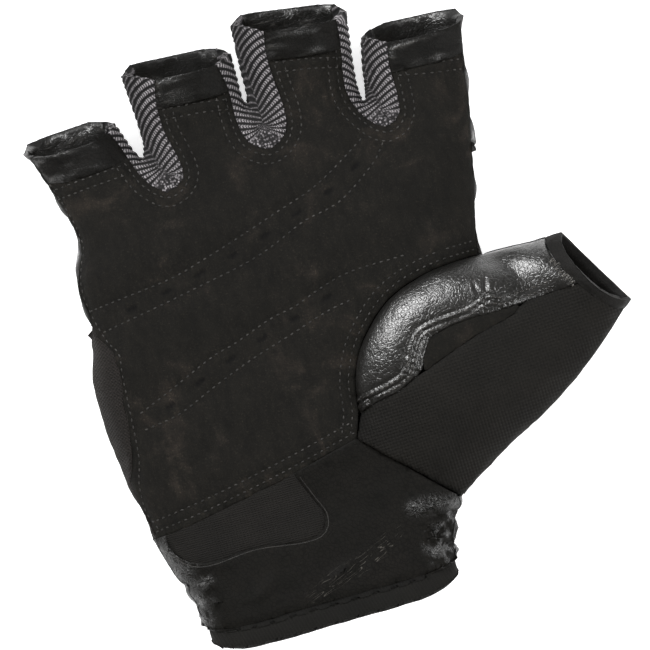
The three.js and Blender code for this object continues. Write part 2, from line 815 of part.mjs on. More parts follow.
const acrossWrist = (from, to, side) => {
  const width = Math.abs(to - from);
  const [start, ...rest] = steps(0, 1, EDGE_STEP / width);
  const shares = [start, CORNER_STEP / width, ...rest.slice(0, -1), 1 - CORNER_STEP / width, 1];
  return shares.map((t) => wristRim(lerp(from, to, t), side));
};

// The part of a side seam that runs beside the cuff, from the wrist's rim up.
function besideCuff(line, top) {
  const upward = line[0].y < last(line).y ? line : [...line].reverse();
  const level = (p) => p.y - wristRim(p.x, 1).y;
  const i = upward.findIndex((p) => level(p) > 0);
  const [a, b] = [upward[i - 1], upward[i]];
  const foot = a.clone().lerp(b, level(a) / (level(a) - level(b)));
  return [foot, ...between(upward.slice(i), -Infinity, top)];
}

function cuffPalm() {
  const foot = spline(STRETCH_FOOT, EDGE_STEP * 0.6);
  const top = spline(PALM_FOOT, EDGE_STEP).slice(1);
  const left = besideCuff(leftSeam, PALM_FOOT[0].y);
  const right = besideCuff(cuffSeam, Infinity).reverse();
  const first = thumbRow(0);
  const gusset = [0.25, 0.5, 0.75, 0.9, 0.96].map((t) => first.inner.clone().lerp(first.outer, t));
  const outline = [
    ...left,
    ...top.filter((p) => p.x < foot[0].x),
    ...foot,
    ...top.filter((p) => p.x > last(foot).x),
    ...gusset,
    ...right,
    ...acrossWrist(last(right).x, left[0].x, 1).slice(1, -1),
  ];
  const lines = CUFF_FOLDS.flatMap(({ from, to, width }) => {
    const side = to.clone().sub(from).normalize().rotateAround(new THREE.Vector2(), Math.PI / 2);
    return [0, width, -width].map((off) =>
      spline(
        [from, to].map((p) => p.clone().addScaledVector(side, off)),
        width * 1.2,
      ),
    );
  });
  return sheet(outline, 1, LEATHER, { relief: cuffRelief, lines });
}

// Knit between two fingers: down one side, round the crotch and up the other

function fourchette(gap) {
  const { rim: seam, edge } = gap;
  const count = edge.length - 1;
  const rim = inset([...seam, ...[...edge].reverse()]).slice(0, seam.length);
  const bulgeAt = seam[Math.round(count / 2)];
  const relief = (p) => {
    const near = 1 - smooth(p.distanceTo(bulgeAt), 0, HAND_EDGE_RADIUS * 0.8);
    return CROTCH_BULGE * near * smooth(distanceTo(seam, p), 0.5, 4);
  };
  const palmShares = [1, 0.72, 0.46, 0.25, 0.1, 0];
  const backShares = [0.25, 0.6, 1];
  const backEdge = backSeam(gap, BACK_SEAM_INSET - SEAM_GAP / 2);
  const columns = edge.map((start, i) => [
    ...palmShares.map((share) => wallAt(start.clone().lerp(rim[i], share), 1, KNIT, relief)),
    ...backShares.map((share) => wallAt(start.clone().lerp(backEdge[i], share), -1, KNIT)),
  ]);
  const layer = (name) => columns.map((column) => column.map((w) => w[name]));
  return gridSolid(layer("outer"), layer("inner"));
}

// Back of the hand

function backLeather() {
  const beside = (seam, end, finger) =>
    mirrored(cutAtLevel(between(seam, end.y, Infinity), finger, 1, 0)[0]);
  const left = beside(leftSeam, KNUCKLE_SEAM[0], FINGERS[0]);
  const right = beside([...indexSeam].reverse(), last(KNUCKLE_SEAM), FINGERS[3]);
  const outline = [...left];
  const seams = GAPS.map((gap) => backSeam(gap, BACK_SEAM_INSET));
  FINGERS.forEach((finger, i) => {
    const from = i === 0 ? finger.left : last(seams[i - 1]);
    const to = i === 3 ? finger.right : seams[i][0];
    outline.push(...acrossFinger(finger, from, to, -1, 0));
    if (i < 3) outline.push(...seams[i].slice(1, -1));
  });
  outline.push(...right.reverse());
  outline.push(...spline([...KNUCKLE_SEAM].reverse(), EDGE_STEP).slice(1, -1));
  const lines = ringLines([LEFT_SIDE, INDEX_SIDE], [0, 1.6, 4.5]);
  return sheet(outline, -1, LEATHER, { lines });
}

function backMesh() {
  const lines = ringLines([LEFT_SIDE, INDEX_SIDE], [-3.5, 0, 1.6, 4.5, 9]);
  const left = mirrored(between(leftSeam, CUFF_BACK_SEAM[0].y, KNUCKLE_SEAM[0].y));
  const right = mirrored(between(indexSeam, -Infinity, last(KNUCKLE_SEAM).y));
  const outline = [
    ...left,
    ...spline(KNUCKLE_SEAM, EDGE_STEP).slice(1, -1),
    ...right,
    INDEX_FOOT,
    ...UNDER_STOPS.filter((section) => section < CROTCH_SECTION).map(onBack).reverse(),
    ...spline([...CUFF_BACK_SEAM].reverse(), EDGE_STEP),
  ];
  return sheet(outline, -1, MESH, { lines });
}

// Where a section of the thumb's underside meets the back
const onBack = (section) => CUFF_HEAD.clone().lerp(INDEX_FOOT, section / CROTCH_SECTION);

function cuffBack() {
  const left = mirrored(besideCuff(leftSeam, CUFF_BACK_SEAM[0].y));
  const right = mirrored(besideCuff(cuffSeam, Infinity).reverse());
  const rim = acrossWrist(CUFF_SIDE[3].x, LEFT_SIDE[1].x, -1);
  const outline = [...left, ...spline(CUFF_BACK_SEAM, EDGE_STEP), ...right, ...rim];
  const lines = ringLines([LEFT_SIDE, CUFF_SIDE], [0, 1.6, 4.5]);
  return sheet(outline, -1, LEATHER, { lines });
}

// Section of the rolled binding: along the glove, in shares of its height, and out from the
// wall's middle, in shares of its thickness.
const BINDING_SECTION = [
  { along: -0.5, out: 0.1 },
  { along: -0.42, out: 0.5 },
  { along: 0.36, out: 0.5 },
  { along: 0.48, out: 0.2 },
  { along: 0.48, out: -0.2 },
  { along: 0.36, out: -0.5 },
  { along: -0.42, out: -0.5 },
  { along: -0.5, out: -0.1 },
];

function wristBinding() {
  const around = [];
  const left = LEFT_SIDE[0].x + BINDING_INSET;
  const right = last(CUFF_SIDE).x - BINDING_INSET;
  for (const side of [1, -1])
    for (let i = 0; i < BINDING_COUNT; i++) {
      const t = 0.5 - 0.5 * Math.cos((Math.PI * i) / BINDING_COUNT);
      const x = side > 0 ? lerp(left, right, t) : lerp(right, left, t);
      around.push({ x, side });
    }
  const half = CUFF_THICKNESS / 2;
  const middle = (left + right) / 2;
  const width = (right - left) / 2;
  const straight = width - HAND_EDGE_RADIUS;
  const rings = around.map(({ x, side }) => {
    const off = Math.max(Math.abs(x - middle) - straight, 0) / HAND_EDGE_RADIUS;
    const height = half * Math.sqrt(Math.max(0, 1 - off * off)) * side;
    const normal = new THREE.Vector2(Math.sign(x - middle) * off, height / half).normalize();
    const rim = BINDING_LEVEL - height * Math.tan(MOUTH_TILT);
    return BINDING_SECTION.map(({ along, out }) => {
      const offset = out * BINDING_THICKNESS - LEATHER / 2;
      return new THREE.Vector3(
        x + normal.x * offset,
        rim + along * (BINDING_HEIGHT - SEAM_GAP),
        CUFF_LIFT + half + height + normal.y * offset,
      );
    });
  });
  const size = BINDING_SECTION.length;
  const index = [];
  for (let i = 0; i < rings.length; i++)
    for (let j = 0; j < size; j++) {
      const [a, b] = [i * size + j, i * size + ((j + 1) % size)];
      const next = ((i + 1) % rings.length) * size;
      const [c, d] = [next + j, next + ((j + 1) % size)];
      index.push(a, c, d, a, d, b);
    }
  const geometry = new THREE.BufferGeometry().setFromPoints(rings.flat());
  geometry.setIndex(index);
  return geometry;
}

// Hook-and-loop tab across the back of the wrist, one plain piece
function closureTab() {
  const [x, y, r] = [TAB_LENGTH / 2, TAB_WIDTH / 2, TAB_CORNER];
  const shape = new THREE.Shape();
  shape.moveTo(-x, -y);
  shape.lineTo(x - r, -y);
  shape.absarc(x - r, -y + r, r, -Math.PI / 2, 0);
  shape.lineTo(x, y - r);
  shape.absarc(x - r, y - r, r, 0, Math.PI / 2);
  shape.lineTo(-x, y);
  shape.closePath();
  return new THREE.ExtrudeGeometry(shape, {
    depth: TAB_THICKNESS,
    bevelEnabled: false,
    curveSegments: 5,
  });
}

// Thumb

// A point of the thumb's skin. share runs from 0 at the inner edge to 1 at the outer edge
// over the palm side, and on to 2, back at the inner edge, underneath.
function thumbSkin(section, share) {
  const row = thumbRow(section);
  const under = share > 1;
  const turn = Math.PI * share;
  const across = (1 - Math.cos(turn)) / 2;
  const mouth = smooth(section, THUMB_TILT_SECTION, THUMB_MOUTH_SECTION);
  let inner = row.inner;
  let innerUp = row.innerUp;
  if (under && section < CROTCH_SECTION) {
    inner = onBack(section);
    innerUp = wallAt(inner, -1, MESH).outer.z;
    inner.addScaledVector(row.outer.clone().sub(inner).normalize(), 2 * SEAM_GAP);
  }
  const plan = inner.clone().lerp(row.outer, across);
  const axis = new THREE.Vector2(inner.y - row.outer.y, row.outer.x - inner.x).normalize();
  const bulge = Math.sin(turn);
  plan.addScaledVector(axis, -THUMB_MOUTH_TILT * Math.max(bulge, 0) * mouth);
  const level = lerp(innerUp, row.outerUp, across);
  const belly = THUMB_DROP * lerp(across, 1, smooth(section, 5, 7));
  const swell = under ? belly : THUMB_RISE * row.rise;
  return new THREE.Vector3(plan.x, plan.y, level + swell * bulge);
}

function thumbNormal(section, share) {
  const step = 0.02;
  const along = thumbSkin(Math.min(section + step, THUMB_MOUTH_SECTION), share).sub(
    thumbSkin(Math.max(section - step, 0), share),
  );
  const low = share <= 1 ? 0 : 1.0001;
  const high = share <= 1 ? 1 : 2;
  const round = thumbSkin(section, Math.min(share + step, high)).sub(
    thumbSkin(section, Math.max(share - step, low)),
  );
  return round.cross(along).normalize();
}

// A wall of the thumb between two shares, which may follow its seams.
function thumbWall(stops, from, to, wall, cells, options = {}) {
  const { puff = () => 0, flat = () => 0, full = () => 1 } = options;
  const outer = [];
  const inner = [];
  for (const section of stops) {
    const column = [];
    const back = [];
    for (let j = 0; j <= cells; j++) {
      const t = j / cells;
      const share = lerp(from(section), to(section), t);
      const normal = thumbNormal(section, share);
      const skin = thumbSkin(section, share).addScaledVector(normal, puff(section, t));
      column.push(skin);
      normal.lerp(new THREE.Vector3(0, 0, -1), flat(section, t)).normalize();
      back.push(skin.clone().addScaledVector(normal, -wall * full(section)));
    }
    outer.push(column);
    inner.push(back);
  }
  return gridSolid(outer.reverse(), inner.reverse());
}

function seamAt(section, name) {
  const i = Math.max(1, THUMB_SEAMS.findIndex((row) => row.section >= section));
  const [a, b] = [THUMB_SEAMS[i - 1], THUMB_SEAMS[i]];
  const t = THREE.MathUtils.clamp((section - a.section) / (b.section - a.section), 0, 1);
  return Math.acos(1 - 2 * lerp(a[name], b[name], t)) / Math.PI;
}

// Sections that neighbouring walls share between two given ones: every half section, the
// ends of the insert, and any others given.
function sections(from, to, others = []) {
  const shared = steps(0, THUMB_MOUTH_SECTION, THUMB_STEP);
  const between = [...shared, INSERT_FROM, INSERT_TO, ...others]
    .filter((s) => s > from + THUMB_STEP / 5 && s < to - THUMB_STEP / 5)
    .sort((a, b) => a - b);
  return [from, ...between, to];
}

// Shares of half a turn round the thumb
const HALF_GAP = SEAM_GAP / 2 / 40; // half of the seam gap
const EDGE_SHARE = 0.02; // clearance of the walls at the thumb's two edges
const PALM_SHARE = 0.03; // the pad's clearance at the palm's seam
const UNDER_SHARE = 0.045; // the underside's clearance at the seam with the back
const HEM_GAP = 0.07; // between the hem and the walls behind it, in sections
const PAD_FROM = THUMB_SEAMS[0].section;
const WALLS_TO = THUMB_HEM_SECTION - HEM_GAP;
const UNDER_FROM = 0.15; // the underside starts almost in a point, and is thin there
// An extra stop closes it up at the thumb's crotch.
const UNDER_STOPS = sections(UNDER_FROM, WALLS_TO, [CROTCH_SECTION - 0.25]);

function thumbPad() {
  const puff = (section, t) => {
    const ends = smooth(section, PAD_FROM, 2) * (1 - smooth(section, 6.5, THUMB_HEM_SECTION));
    const crease = 1 - smooth(Math.abs(section - THUMB_CREASE_SECTION), 0, 0.6);
    return (PAD_PUFF * ends - THUMB_CREASE_DEPTH * crease) * Math.sin(Math.PI * t);
  };
  return thumbWall(
    sections(PAD_FROM, WALLS_TO),
    () => PALM_SHARE,
    (section) => seamAt(section, "pad") - HALF_GAP,
    LEATHER,
    6,
    { puff },
  );
}

function thumbInsert() {
  return thumbWall(
    sections(INSERT_FROM, INSERT_TO),
    (section) => seamAt(section, "pad") + HALF_GAP,
    (section) => Math.max(seamAt(section, "mesh") - HALF_GAP, seamAt(section, "pad") + 3 * HALF_GAP),
    LEATHER,
    2,
  );
}

function thumbMesh() {
  const from = (section) => {
    if (section < PAD_FROM)
      return lerp(PALM_SHARE, seamAt(PAD_FROM, "mesh"), section / PAD_FROM) + HALF_GAP;
    const open = section >= INSERT_FROM && section <= INSERT_TO ? 4 * HALF_GAP : 0;
    return Math.max(seamAt(section, "mesh"), seamAt(section, "pad") + open) + HALF_GAP;
  };
  return thumbWall(sections(HEM_GAP, WALLS_TO), from, () => 1 - EDGE_SHARE, MESH, 9);
}

function thumbBack() {
  return thumbWall(
    UNDER_STOPS,
    () => 1 + EDGE_SHARE,
    () => 2 - UNDER_SHARE,
    LEATHER,
    7,
    {
      flat: (section, t) => smooth(t, 0.7, 1) * (1 - smooth(section, 4.6, 5.6)),
      full: (section) => lerp(0.5, 1, smooth(section, 0, 1)),
    },
  );
}

function thumbHem(from, to) {
  const stops = steps(THUMB_HEM_SECTION, THUMB_MOUTH_SECTION, 0.28);
  return thumbWall(stops, () => from, () => to, LEATHER, 8);
}

// The glove

const finish = (color, roughness, metalness = 0) =>
  new THREE.MeshStandardMaterial({ color, roughness, metalness });
const suede = finish(0x1b1a18, 0.95);
const leather = finish(0x141312, 0.38);
const knit = finish(0x8a868c, 0.9);
const mesh = finish(0x17171a, 0.85);
const stretch = finish(0x1d1b1b, 0.88);
const binding = finish(0x161514, 0.6);

const glove = new THREE.Group();
function add(name, geometry, material) {
  geometry.computeVertexNormals();
  const piece = new THREE.Mesh(geometry, material);
  piece.name = name;
  glove.add(piece);
  return piece;
}

add("palm_panel", palmPanel(), suede);
FINGERS.forEach((finger, i) => add(`${finger.name}_hem`, fingerHem(i), leather));
GAPS.forEach((gap) =>
  add(`fourchette_${gap.name}`, fourchette(gap), knit),
);
add("knuckle_leather", backLeather(), leather);
add("back_mesh", backMesh(), mesh);
add("stretch_panel", stretchPanel(), stretch);
add("cuff_palm", cuffPalm(), leather);
add("cuff_back", cuffBack(), leather);
add("wrist_binding", wristBinding(), binding);
add("thumb_pad", thumbPad(), leather);
add("thumb_insert", thumbInsert(), suede);
add("thumb_mesh", thumbMesh(), mesh);
add("thumb_back", thumbBack(), leather);
add("thumb_hem_palm", thumbHem(EDGE_SHARE, 1 - EDGE_SHARE), leather);
add("thumb_hem_back", thumbHem(1 + EDGE_SHARE, 2 - EDGE_SHARE), leather);
const tab = add("closure_tab", closureTab(), binding);
tab.position.set((LEFT_SIDE[0].x + last(CUFF_SIDE).x) / 2, HAND_LENGTH * 0.138, 0);

// The origin is on the floor, under the middle of the glove.
const extent = new THREE.Box3().setFromObject(glove, true);
const centre = extent.getCenter(new THREE.Vector3());
glove.position.set(-centre.x, -centre.y, -extent.min.z);

export default glove;
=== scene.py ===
"""A half-finger weightlifting glove, lying on its back with the palm up.

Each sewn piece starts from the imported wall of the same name. Its edges are rounded,
its folds, creases, ribs and stitched grooves are raised in the mesh, and it takes its
own suede, leather, knit or woven finish. Rows of thread are laid along the seams.
Lengths are in millimetres on the hand where nothing else is said, and in metres in the mesh.
"""

import math

import bmesh
import bpy
import numpy as np
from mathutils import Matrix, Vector, noise
from mathutils.bvhtree import BVHTree
from mathutils.kdtree import KDTree


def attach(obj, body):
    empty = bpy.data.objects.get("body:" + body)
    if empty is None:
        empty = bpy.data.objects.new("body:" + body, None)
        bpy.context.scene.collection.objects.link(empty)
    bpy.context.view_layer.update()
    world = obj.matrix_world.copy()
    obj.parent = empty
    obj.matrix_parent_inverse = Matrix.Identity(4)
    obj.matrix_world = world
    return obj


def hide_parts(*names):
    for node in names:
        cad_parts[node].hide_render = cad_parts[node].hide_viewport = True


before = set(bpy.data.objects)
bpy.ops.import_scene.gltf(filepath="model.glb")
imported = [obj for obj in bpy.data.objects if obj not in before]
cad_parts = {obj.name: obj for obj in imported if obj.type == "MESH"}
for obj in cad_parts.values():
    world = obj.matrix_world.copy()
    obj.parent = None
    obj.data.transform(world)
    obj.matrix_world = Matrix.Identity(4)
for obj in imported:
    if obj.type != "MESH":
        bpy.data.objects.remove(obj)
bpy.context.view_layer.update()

MM = 0.001
HAND_ORIGIN = np.array([-25.668, -82.398, 0.0])  # the cuff hem's middle, in frame mm
LINE_STEP = 1.5  # mm between the places of a smooth line
CURVE_STEPS = 12  # steps between two points that a smooth line is drawn through
NOISE_DECAY = 0.9  # how fast the finer waves of the noise fade
NOISE_STEP = 2.0  # how many times finer each wave is than the last
SEED_STRIDE = (17.3, 5.1, 9.7)  # how far a seed moves the place in the noise
MERGE_WITHIN = 0.005  # mm between corners that are one
RIM_ANGLE = math.radians(50)  # a wall's cut edge turns more than this
RIM_STEPS = 6  # places marked along each edge of the rim
RIM_REACH = 1.3  # mm from the rim that is shaped as the rim
RIM_SOFTNESS = 0.9  # mm over which the rim rolls in

# Seams and stitched lines on the hand, in mm: across towards the thumb, up to the fingers
CHANNEL_ROWS = [
    [(-43, 99.5), (-20.6, 101.8), (-9.7, 104.4), (3.3, 108.2), (13.8, 111.6), (24.3, 114.9),
     (33, 119.3), (41.4, 124.5)],
    [(-41, 92.9), (-23.7, 95.7), (-14.3, 97.4), (0.4, 100.1), (9.5, 102.7), (20.3, 107.1),
     (31.4, 109.7), (42.8, 117.1), (47, 121.7)],
    [(-37.2, 68.7), (-28.4, 72.2), (-14.8, 77.9), (-7.1, 80), (4.1, 83.8), (11.4, 85.2),
     (19.3, 88), (28.7, 90.2), (43.7, 90.5)],
    [(-37.2, 63.9), (-27.2, 65.5), (-15.8, 70.1), (-4.4, 74.3), (7.4, 77.8), (19.3, 81.4),
     (26, 82.6)],
]
KNIT_SEAMS = {
    "little_ring": [(-25.3, 147.6), (-22.8, 141.3), (-20.7, 135), (-18.2, 129.5),
                    (-13.3, 125.2), (-8.3, 128.2), (-8.6, 134.5), (-10.1, 141.4),
                    (-10.1, 150.1), (-8, 158)],
    "ring_middle": [(9.3, 155), (10.6, 147.1), (10.3, 139.9), (11.4, 133), (16.6, 129),
                    (21.9, 132), (23.5, 137.9), (22.9, 147.1), (22.8, 154), (24.4, 162.8)],
    "middle_index": [(44.4, 157), (43.4, 149.1), (41.7, 139.9), (43, 133.5), (48.6, 126.3),
                     (53.5, 128), (54.6, 134.5), (54.6, 141.9), (56.2, 150.2)],
}
PALM_FOOT = [(-43.5, 34), (-25.1, 36.5), (-3, 40.7), (17.6, 45.5)]
THUMB_ARC = [(17.6, 45.5), (20.2, 52.6), (21.8, 61.9), (27, 71.5), (37.1, 80.5), (50, 84.5),
             (66, 85.2)]
LITTLE_SIDE = [(-45.4, 139), (-41.6, 127), (-40.2, 117.5), (-42.2, 112.5), (-43.9, 106.1),
               (-43.2, 98), (-41, 90), (-38.8, 86), (-39.5, 79.8), (-40.2, 70.8),
               (-41.4, 57), (-43.4, 50), (-43.8, 42), (-42, 37)]
FINGER_HEMS = [
    [(-46.2, 136), (-36, 136.6), (-24.5, 137.4)],
    [(-8.4, 149), (0.5, 148.3), (8.3, 147.2)],
    [(25.2, 153), (34, 151.5), (42.3, 149.6)],
    [(57, 143), (66, 141.2), (75, 140)],
]
STRETCH_FOOT = [(-40.4, 30), (-36, 25.1), (-30, 23.6), (-17.3, 24.4), (-4, 22.6), (1.7, 23.4),
                (3.5, 27.6), (1.5, 33), (-0.8, 39)]
STRETCH_EDGE = -0.75  # from the panel's foot to its seam's thread on the cuff
PAD_SEAM = [(20.2, 52.7), (32.5, 55.2), (37.6, 58), (42.1, 65.3), (45, 67.4), (56.3, 68.5),
            (62.9, 70.3), (66.9, 69.2), (81.1, 69.9)]
VENT_CHANNELS = [
    [(-37, 96), (-21, 98.8), (-11.5, 101), (2, 104.2), (12, 107.2), (22.5, 111), (33, 114.8),
     (43, 121)],
    [(-34, 66.4), (-27.8, 68.8), (-15.3, 74), (-5.8, 77.2), (5.8, 80.8), (15, 83.2), (24, 86.3)],
]
VENT_PITCH = 10.5
VENT_LENGTH = 3.8
VENT_WIDTH = 1.4


# Lines and places on the hand

def on_hand(places):
    """Frame places in metres, as millimetres on the hand."""
    return places / MM - HAND_ORIGIN


def smooth_line(points):
    """An even line through a few points, rounded between them."""
    p = np.array(points, float)
    p = np.vstack([2 * p[0] - p[1], p, 2 * p[-1] - p[-2]])
    t = np.linspace(0, 1, CURVE_STEPS, endpoint=False)[:, None]
    runs = []
    for a, b, c, d in zip(p, p[1:], p[2:], p[3:]):
        runs.append(0.5 * (2 * b + (c - a) * t + (2 * a - 5 * b + 4 * c - d) * t ** 2
                           + (3 * b - a - 3 * c + d) * t ** 3))
    dense = np.vstack(runs + [p[-2:-1]])
    gone = np.concatenate([[0], np.cumsum(np.linalg.norm(np.diff(dense, axis=0), axis=1))])
    stops = np.linspace(0, gone[-1], max(2, round(gone[-1] / LINE_STEP) + 1))
    return np.column_stack([np.interp(stops, gone, dense[:, k]) for k in range(p.shape[1])])


def beside(line, distance):
    """The same line moved sideways, to its left where the distance is positive."""
    way = np.gradient(line, axis=0)
    way /= np.linalg.norm(way, axis=1)[:, None]
    return line + distance * np.column_stack([-way[:, 1], way[:, 0]])


def near_line(places, line):
    """How far each place is from the line, and how far along the line it lies."""
    nearest = np.full(len(places), np.inf)
    along = np.zeros(len(places))
    start = 0.0
    for a, b in zip(line, line[1:]):
        run = b - a
        size = np.linalg.norm(run)
        share = np.clip(((places - a) @ run) / size ** 2, 0, 1)
        off = np.linalg.norm(places - a - share[:, None] * run, axis=1)
        closer = off < nearest
        nearest[closer] = off[closer]
        along[closer] = start + share[closer] * size
        start += size
    return nearest, along


def uneven(places, size, seed=0, octaves=3):
    """Random smooth heights about zero, with hollows and humps of that size in mm."""
    start = Vector([stride * seed for stride in SEED_STRIDE])
    return np.array([noise.fractal(Vector(place) + start, NOISE_DECAY, NOISE_STEP, octaves)
                     for place in places / size])


def on_line(off, width):
    """1 where off is 0, falling softly to 0 past the width."""
    return np.exp(-(off / width) ** 2)


def crinkles(places, size, width, seed=0):
    """Thin crease lines, 1 on a crease and 0 away from it."""
    return on_line(uneven(places, size, seed, 2), width)


def ease(value, low, high):
    """0 below low, 1 above high and smooth between them."""
    t = np.clip((value - low) / (high - low), 0, 1)
    return t * t * (3 - 2 * t)


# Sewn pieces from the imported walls

class Sewn:
    """A rounded copy of a packed wall that can be shaped away from its cut edges.

    way is the wall's own normal at each vertex, also at the rim, out points past the rim
    in the wall's plane, and rim is the distance from the nearest cut edge in mm.
    """

    def __init__(self, node, levels):
        self.node = node
        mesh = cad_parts[node].data.copy()
        form = bmesh.new()
        form.from_mesh(mesh)
        bmesh.ops.remove_doubles(form, verts=form.verts, dist=MERGE_WITHIN * MM)
        edge_kept = form.edges.layers.float.new("crease_edge")
        corner_kept = form.verts.layers.float.new("crease_vert")
        cuts = []
        for edge in form.edges:
            edge.smooth = True
            if edge.calc_face_angle(0) > RIM_ANGLE:
                edge[edge_kept] = 1.0
                a, b = edge.verts
                a[corner_kept] = b[corner_kept] = 1.0
                cuts += [a.co.lerp(b.co, i / RIM_STEPS) for i in range(RIM_STEPS + 1)]
        form.to_mesh(mesh)
        form.free()
        for leftover in ("custom_normal", "sharp_face"):
            if leftover in mesh.attributes:
                mesh.attributes.remove(mesh.attributes[leftover])
        mesh.materials.clear()
        self.piece = bpy.data.objects.new(node + "_sewn", mesh)
        bpy.context.scene.collection.objects.link(self.piece)
        rounding = self.piece.modifiers.new("rounding", "SUBSURF")
        rounding.levels = rounding.render_levels = levels
        settle(self.piece)
        self.measure(cuts)

    def measure(self, cuts):
        """Reads places, normals and distances to the rim off the rounded mesh."""
        mesh = self.piece.data
        self.places = np.zeros(len(mesh.vertices) * 3)
        self.way = np.zeros(len(mesh.vertices) * 3)
        mesh.vertices.foreach_get("co", self.places)
        mesh.vertices.foreach_get("normal", self.way)
        self.places = self.places.reshape(-1, 3)
        self.way = self.way.reshape(-1, 3)
        self.out = np.zeros_like(self.places)
        self.rim = np.full(len(self.places), np.inf)
        if cuts:
            edge = tree_of(cuts)
            self.rim = np.array([edge.find(place)[2] for place in self.places]) / MM
            inner = np.flatnonzero(self.rim > RIM_REACH)
            if len(inner):
                middle = tree_of(self.places[inner])
                for i in np.flatnonzero(self.rim <= RIM_REACH):
                    nearest = inner[middle.find(self.places[i])[1]]
                    self.way[i] = self.way[nearest]
                    self.out[i] = self.places[i] - self.places[nearest]
                size = np.linalg.norm(self.out, axis=1)
                self.out[size > 0] /= size[size > 0][:, None]
        self.hand = on_hand(self.places)

    def shape(self, height, roll=0.35, join=0.28):
        """Raises the wall by a height in mm, rolls its cut edges in and joins its neighbours."""
        near = on_line(self.rim, RIM_SOFTNESS)
        shift = self.way * (height - roll * near)[:, None]
        shift += self.out * (join * near)[:, None]
        self.piece.data.vertices.foreach_set("co", (self.places + shift * MM).ravel())
        self.piece.data.update()

    def wear(self, material, slot):
        """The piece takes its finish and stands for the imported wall."""
        self.piece.data.materials.clear()
        self.piece.data.materials.append(material)
        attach(self.piece, "root")
        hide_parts(self.node)
        return self.piece


def tree_of(places):
    """A tree that finds the nearest of the places."""
    tree = KDTree(len(places))
    for i, place in enumerate(places):
        tree.insert(place, i)
    tree.balance()
    return tree


def settle(piece):
    """Turns the piece with its modifiers into a plain smooth mesh."""
    seen = piece.evaluated_get(bpy.context.evaluated_depsgraph_get())
    mesh = bpy.data.meshes.new_from_object(seen)
    piece.modifiers.clear()
    piece.data = mesh
    mesh.polygons.foreach_set("use_smooth", [True] * len(mesh.polygons))
    mesh.update()


def record_on(piece, name, values):
    """Keeps a value for each vertex, for the piece's finish to read."""
    field = piece.data.attributes.new(name, "FLOAT", "POINT")
    field.data.foreach_set("value", values.astype(np.float32))


def grooves(places, rows, depth, width):
    """The pull of stitched rows on the leather: a groove with a dimple at each stitch."""
    height = np.zeros(len(places))
    for row in rows:
        off, along = near_line(places[:, :2], row)
        pull = 0.8 + 0.2 * np.cos(2 * math.pi * along / STITCH_PITCH)
        height = np.minimum(height, -depth * pull * on_line(off, width))
    return height


# Thread

# Lengths of the stitches and the thread, in mm
STITCH_PITCH = 2.0
STITCH_LENGTH = 1.0
THREAD_WIDTH = 0.4
THREAD_HEIGHT = 0.3
THREAD_ROUNDNESS = 0.7  # least height of a stitch over its width
THREAD_LIFT = 0.02
STITCH_SIDES = 8
STITCH_RINGS = 6
STITCH_SWING = 0.14  # how far a stitch turns from its row, in radians
STITCH_SEED = 7
RAY_FROM = 0.1  # m above the floor
FACES_UP = 0.25  # least upward share of the normal where thread is laid


def stitch_maker():
    """A tree that lays a stitch along every pitch of a line, flat on the leather."""
    tree = bpy.data.node_groups.new("stitch_maker", "GeometryNodeTree")
    face = tree.interface
    face.new_socket("Rows", in_out="INPUT", socket_type="NodeSocketGeometry")
    for name in ("Pitch", "Length", "Width", "Height"):
        face.new_socket(name, in_out="INPUT", socket_type="NodeSocketFloat")
    face.new_socket("Thread", in_out="INPUT", socket_type="NodeSocketMaterial")
    face.new_socket("Stitches", in_out="OUTPUT", socket_type="NodeSocketGeometry")
    add = tree.nodes.new
    given = add("NodeGroupInput")
    made = add("NodeGroupOutput")
    curve = add("GeometryNodeMeshToCurve")
    spaced = add("GeometryNodeResampleCurve")
    spaced.mode = "LENGTH"
    stitch = add("GeometryNodeMeshUVSphere")
    stitch.inputs["Segments"].default_value = STITCH_SIDES
    stitch.inputs["Rings"].default_value = STITCH_RINGS
    stitch.inputs["Radius"].default_value = 0.5
    size = add("ShaderNodeCombineXYZ")
    way = add("GeometryNodeInputTangent")
    up = add("GeometryNodeInputNamedAttribute")
    up.data_type = "FLOAT_VECTOR"
    up.inputs["Name"].default_value = "up"
    turn = add("FunctionNodeAxesToRotation")
    turn.primary_axis = "X"
    turn.secondary_axis = "Z"
    wobble = add("FunctionNodeRandomValue")
    wobble.data_type = "FLOAT"
    wobble.inputs[2].default_value = -STITCH_SWING
    wobble.inputs[3].default_value = STITCH_SWING
    wobble.inputs["Seed"].default_value = STITCH_SEED
    swing = add("FunctionNodeAxisAngleToRotation")
    both = add("FunctionNodeRotateRotation")
    both.rotation_space = "LOCAL"
    laid = add("GeometryNodeInstanceOnPoints")
    real = add("GeometryNodeRealizeInstances")
    dyed = add("GeometryNodeSetMaterial")
    soft = add("GeometryNodeSetShadeSmooth")
    link = tree.links.new
    link(given.outputs["Rows"], curve.inputs[0])
    link(curve.outputs[0], spaced.inputs["Curve"])
    link(given.outputs["Pitch"], spaced.inputs["Length"])
    link(given.outputs["Length"], size.inputs["X"])
    link(given.outputs["Width"], size.inputs["Y"])
    link(given.outputs["Height"], size.inputs["Z"])
    link(way.outputs[0], turn.inputs[0])
    link(up.outputs[0], turn.inputs[1])
    swing.inputs["Axis"].default_value = (0, 0, 1)
    link(wobble.outputs[1], swing.inputs["Angle"])
    link(turn.outputs[0], both.inputs[0])
    link(swing.outputs[0], both.inputs[1])
    link(spaced.outputs[0], laid.inputs["Points"])
    link(stitch.outputs[0], laid.inputs["Instance"])
    link(both.outputs[0], laid.inputs["Rotation"])
    link(size.outputs[0], laid.inputs["Scale"])
    link(laid.outputs[0], real.inputs[0])
    link(real.outputs[0], dyed.inputs["Geometry"])
    link(given.outputs["Thread"], dyed.inputs["Material"])
    link(dyed.outputs[0], soft.inputs[0])
    link(soft.outputs[0], made.inputs[0])
    return tree


